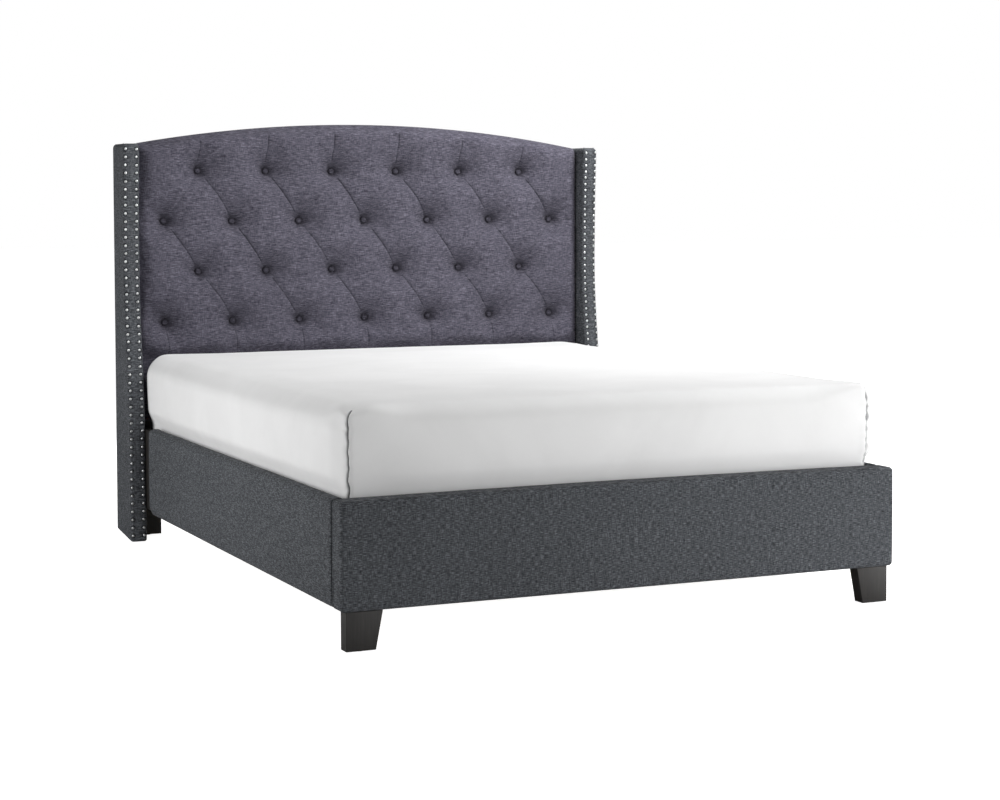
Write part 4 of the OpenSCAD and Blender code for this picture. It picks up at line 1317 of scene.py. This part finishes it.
def shapeSheet(pts, half):
    s = sheetSet
    x, y, z = pts[:, 0].copy(), pts[:, 1].copy(), pts[:, 2].copy()
    height = z + half[2]
    free = ease((height - s["heldHeight"]) / s["heldFade"])
    nearTop = ease((half[2] - z) / (70 * mm))
    rightFoot = (x > 0) & (y < 0)
    ends = ease((half[1] - np.abs(y)) / np.where(rightFoot, 40 * mm, 90 * mm))
    ends *= 0.8 + 0.2 * (1 - np.abs(y / half[1]) ** 3)
    sideways = ease((np.abs(x) - half[0] + 30 * mm) / (25 * mm))
    endways = ease((np.abs(y) - half[1] + 30 * mm) / (25 * mm))
    drift = waves(pts, 2.5, 20)
    wrinkle = waves(pts * np.array([1, 1, 2.2]), 11, 33)
    nearFoot = np.exp(-np.maximum(y + half[1], 0) / (260 * mm))
    out = free * nearTop * sideways * ends * (s["bulge"] + 4 * mm * drift + 4 * mm * nearFoot * wrinkle)
    # the right side is pulled less tight at the foot and stands out past its corner in slanting folds
    fromFoot = y + half[1]
    slant = np.sin((z * 0.8 - fromFoot * 1.3) / (5.5 * mm)) * 2.2 * mm
    slack = s["slack"] * np.exp(-((fromFoot - s["slackPlace"]) / s["slackWidth"]) ** 2)
    slack *= 1 + slant / (18 * mm)
    pts[:, 0] += np.sign(x) * out + np.where(rightFoot, free * nearTop * sideways * slack, 0)
    front = free * nearTop * endways * (s["endBulge"] + 2 * mm * drift) * (1 - np.abs(x / half[0]) ** 6)
    pts[:, 1] += np.sign(y) * np.where(y < 0, front, 0)
    over = ease(z / half[2])
    pts[:, 2] += over * s["crown"] * (1 - (x / half[0]) ** 2) * (1 - (y / half[1]) ** 4)
    leftCorner = np.hypot(x + half[0], y + half[1])
    pts[:, 2] -= over * s["cornerDrop"] * np.exp(-(leftCorner / (48 * mm)) ** 2)
    return cornerSeams(pts, half)


diagonal = 0.707  # sine and cosine of 45 degrees


# distance from the middle of a corner's seam, which wanders a little on its way down
def seamGap(u, v, z, corner):
    stray = np.array([noise.noise(Vector((corner * 3.7, 1.3, h * 42))) for h in z])
    return (u - v) * diagonal - sheetSet["wander"] * stray


# the corner seams: a narrow sunk line down each foot corner, gathered into small puckers
def cornerSeams(pts, half):
    s = sheetSet
    base = pts.copy()
    for corner, (cx, cy) in enumerate(fourCorners):
        u, v = half[0] - cx * base[:, 0], half[1] - cy * base[:, 1]
        near = (u < s["gathered"]) & (v < s["gathered"])
        z = base[near, 2]
        line = seamGap(u[near], v[near], z, corner)
        reach = ease((half[2] - 6 * mm - z) / (20 * mm)) * (1.0 if cy < 0 else 0.35)
        beat = np.array([noise.noise(Vector((side * 5 + corner * 3, 9.5, h / s["puckerEvery"])))
                         for h, side in zip(z, np.sign(line))])
        sink = s["seamDepth"] * np.exp(-(line / s["seamWidth"]) ** 2)
        pucker = s["pucker"] * beat * np.exp(-((np.abs(line) - 4 * mm) / (12 * mm)) ** 2)
        pucker *= 1 - np.exp(-(line / s["seamWidth"]) ** 2)
        move = reach * (1.5 * mm * np.exp(-(np.abs(line) / (16 * mm)) ** 2) + pucker - sink)
        pts[near, 0] += cx * move * diagonal
        pts[near, 1] += cy * move * diagonal
    return pts


# painted shade and grey thread along the seams, fainter at the head
def seamShadeAndThread(pts):
    centre, half = middleAndHalf("fitted_sheet")
    local = pts - centre
    strength = np.zeros(len(pts))
    for corner, (cx, cy) in enumerate(fourCorners):
        u, v = half[0] - cx * local[:, 0], half[1] - cy * local[:, 1]
        near = (u < 60 * mm) & (v < 60 * mm) & (local[:, 2] < half[2] - 14 * mm)
        line = seamGap(u[near], v[near], local[near, 2], corner)
        strength[near] = np.exp(-(line / (2.2 * mm)) ** 2) * (1.0 if cy < 0 else 0.6)
    return strength


# the sheet stretched over the mattress: held below the rails and on top, drawn tight over the edges
def sheetMoves():
    points, faces = sheetMesh(True)
    low = sheetLo.z + 90 * mm

    def held(pts):
        onTop = (pts[:, 2] > sheetHi.z - 4 * mm) & (np.abs(pts[:, 0]) < sheetHi.x - 160 * mm)
        return (pts[:, 2] < low) | onTop

    return clothMoves("sheetCloth", points, faces, held, pressure=0.5, growth=0.012, cap=5 * mm)


points, faces = sheetMesh(False)
rest, moves = sheetMoves()
points = points + carryMoves(points, rest, moves, 40, 45 * mm)
sheetPiece = makePiece(
    "fittedSheet", points, faces, sheetCotton, "mattress", ["fitted_sheet"])
markPaintedShade(sheetPiece, seamShadeAndThread)
thickness = sheetPiece.modifiers.new("clothThickness", "SOLIDIFY")
thickness.thickness = sheetSet["thick"]
thickness.offset = -1
print("sheet done", len(points))


def mattressMesh():
    centre, half = middleAndHalf("mattress")
    half -= 3 * mm  # a little room under the sheet
    xs = spacedSteps(half[0], 40 * mm, 8 * mm, 60 * mm)
    ys = spacedSteps(half[1], 40 * mm, 8 * mm, 60 * mm)
    zs = spacedSteps(half[2], 14 * mm, 4 * mm, 36 * mm)
    points, faces = boxSkin(xs, ys, zs, None)
    pts = np.array(points)
    corner = np.where(pts[:, 1] < 0, sheetSet["footCorner"] - 2 * mm, sheetSet["headCorner"] - 4 * mm)
    return roundBox(pts, half, sheetSet["radius"] - 4 * mm, corner) + centre, faces


points, faces = mattressMesh()
piece = makePiece("mattressBody", points, faces, mattressTicking, "mattress", ["mattress"])
print("mattress done")


# a copy of a CAD node with its sharp edges eased, as planed or sanded wood has them
def easedCopy(node, width, material, body="bed_frame"):
    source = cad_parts[node]
    mesh = source.data.copy()
    mesh.name = node + "Eased"
    piece = bpy.data.objects.new(node + "_eased", mesh)
    scene.collection.objects.link(piece)
    work = bmesh.new()
    work.from_mesh(mesh)
    bmesh.ops.remove_doubles(work, verts=work.verts, dist=1e-6)
    bmesh.ops.dissolve_limit(work, angle_limit=math.radians(1), verts=work.verts, edges=work.edges)
    sharp = [e for e in work.edges if len(e.link_faces) == 2 and e.calc_face_angle(0) > math.radians(50)
             and e.calc_length() > 30 * mm]
    bmesh.ops.bevel(
        work, geom=sharp, offset=width, segments=2, profile=0.6, affect="EDGES", clamp_overlap=True)
    work.to_mesh(mesh)
    work.free()
    finishPiece(piece, material, body, [node])
    mesh.set_sharp_from_angle(angle=math.radians(40))
    return piece


for side in ("left", "right"):
    easedCopy("front_leg_" + side, 1.6 * mm, stainedUpright)
    easedCopy("headboard_post_" + side, 2 * mm, stainedUpright)
for place in ("front", "back"):
    easedCopy("centre_leg_" + place, 1.6 * mm, stainedUpright)
slatNodes = [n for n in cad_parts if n.startswith("slat_") and n[5:].isdigit()]
for node in slatNodes:
    easedCopy(node, 3 * mm, slatWood)

finishes = {
    pineAcross: ["headboard_top_rail", "headboard_middle_rail", "headboard_lower_rail", "footboard_core"],
    pineAlong: ["slat_ledge_left", "slat_ledge_right", "centre_beam"],
    pineUpright: ["wing_core_left", "wing_core_right"],
    boardPly: ["backing_board"],
    stainedAlong: ["rail_board_left", "rail_board_right"],
    boltZinc: ["button_washers", "ledge_screws", "slat_screws", "bracket_bolts", "leg_bolts", "wing_bolts"],
    bracketCoat: ["foot_bracket_left", "foot_bracket_right", "head_bracket_left", "head_bracket_right",
                  "beam_hanger_foot", "beam_hanger_head"],
    footPlastic: ["leg_glides", "levelling_foot_front", "levelling_foot_back"],
    backCloth: ["back_panel"],
}
for material, nodes in finishes.items():
    for node in nodes:
        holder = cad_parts[node]
        if not holder.material_slots:
            holder.data.materials.append(material)
        for slot in holder.material_slots:
            slot.material = material
print("wood and metal done")
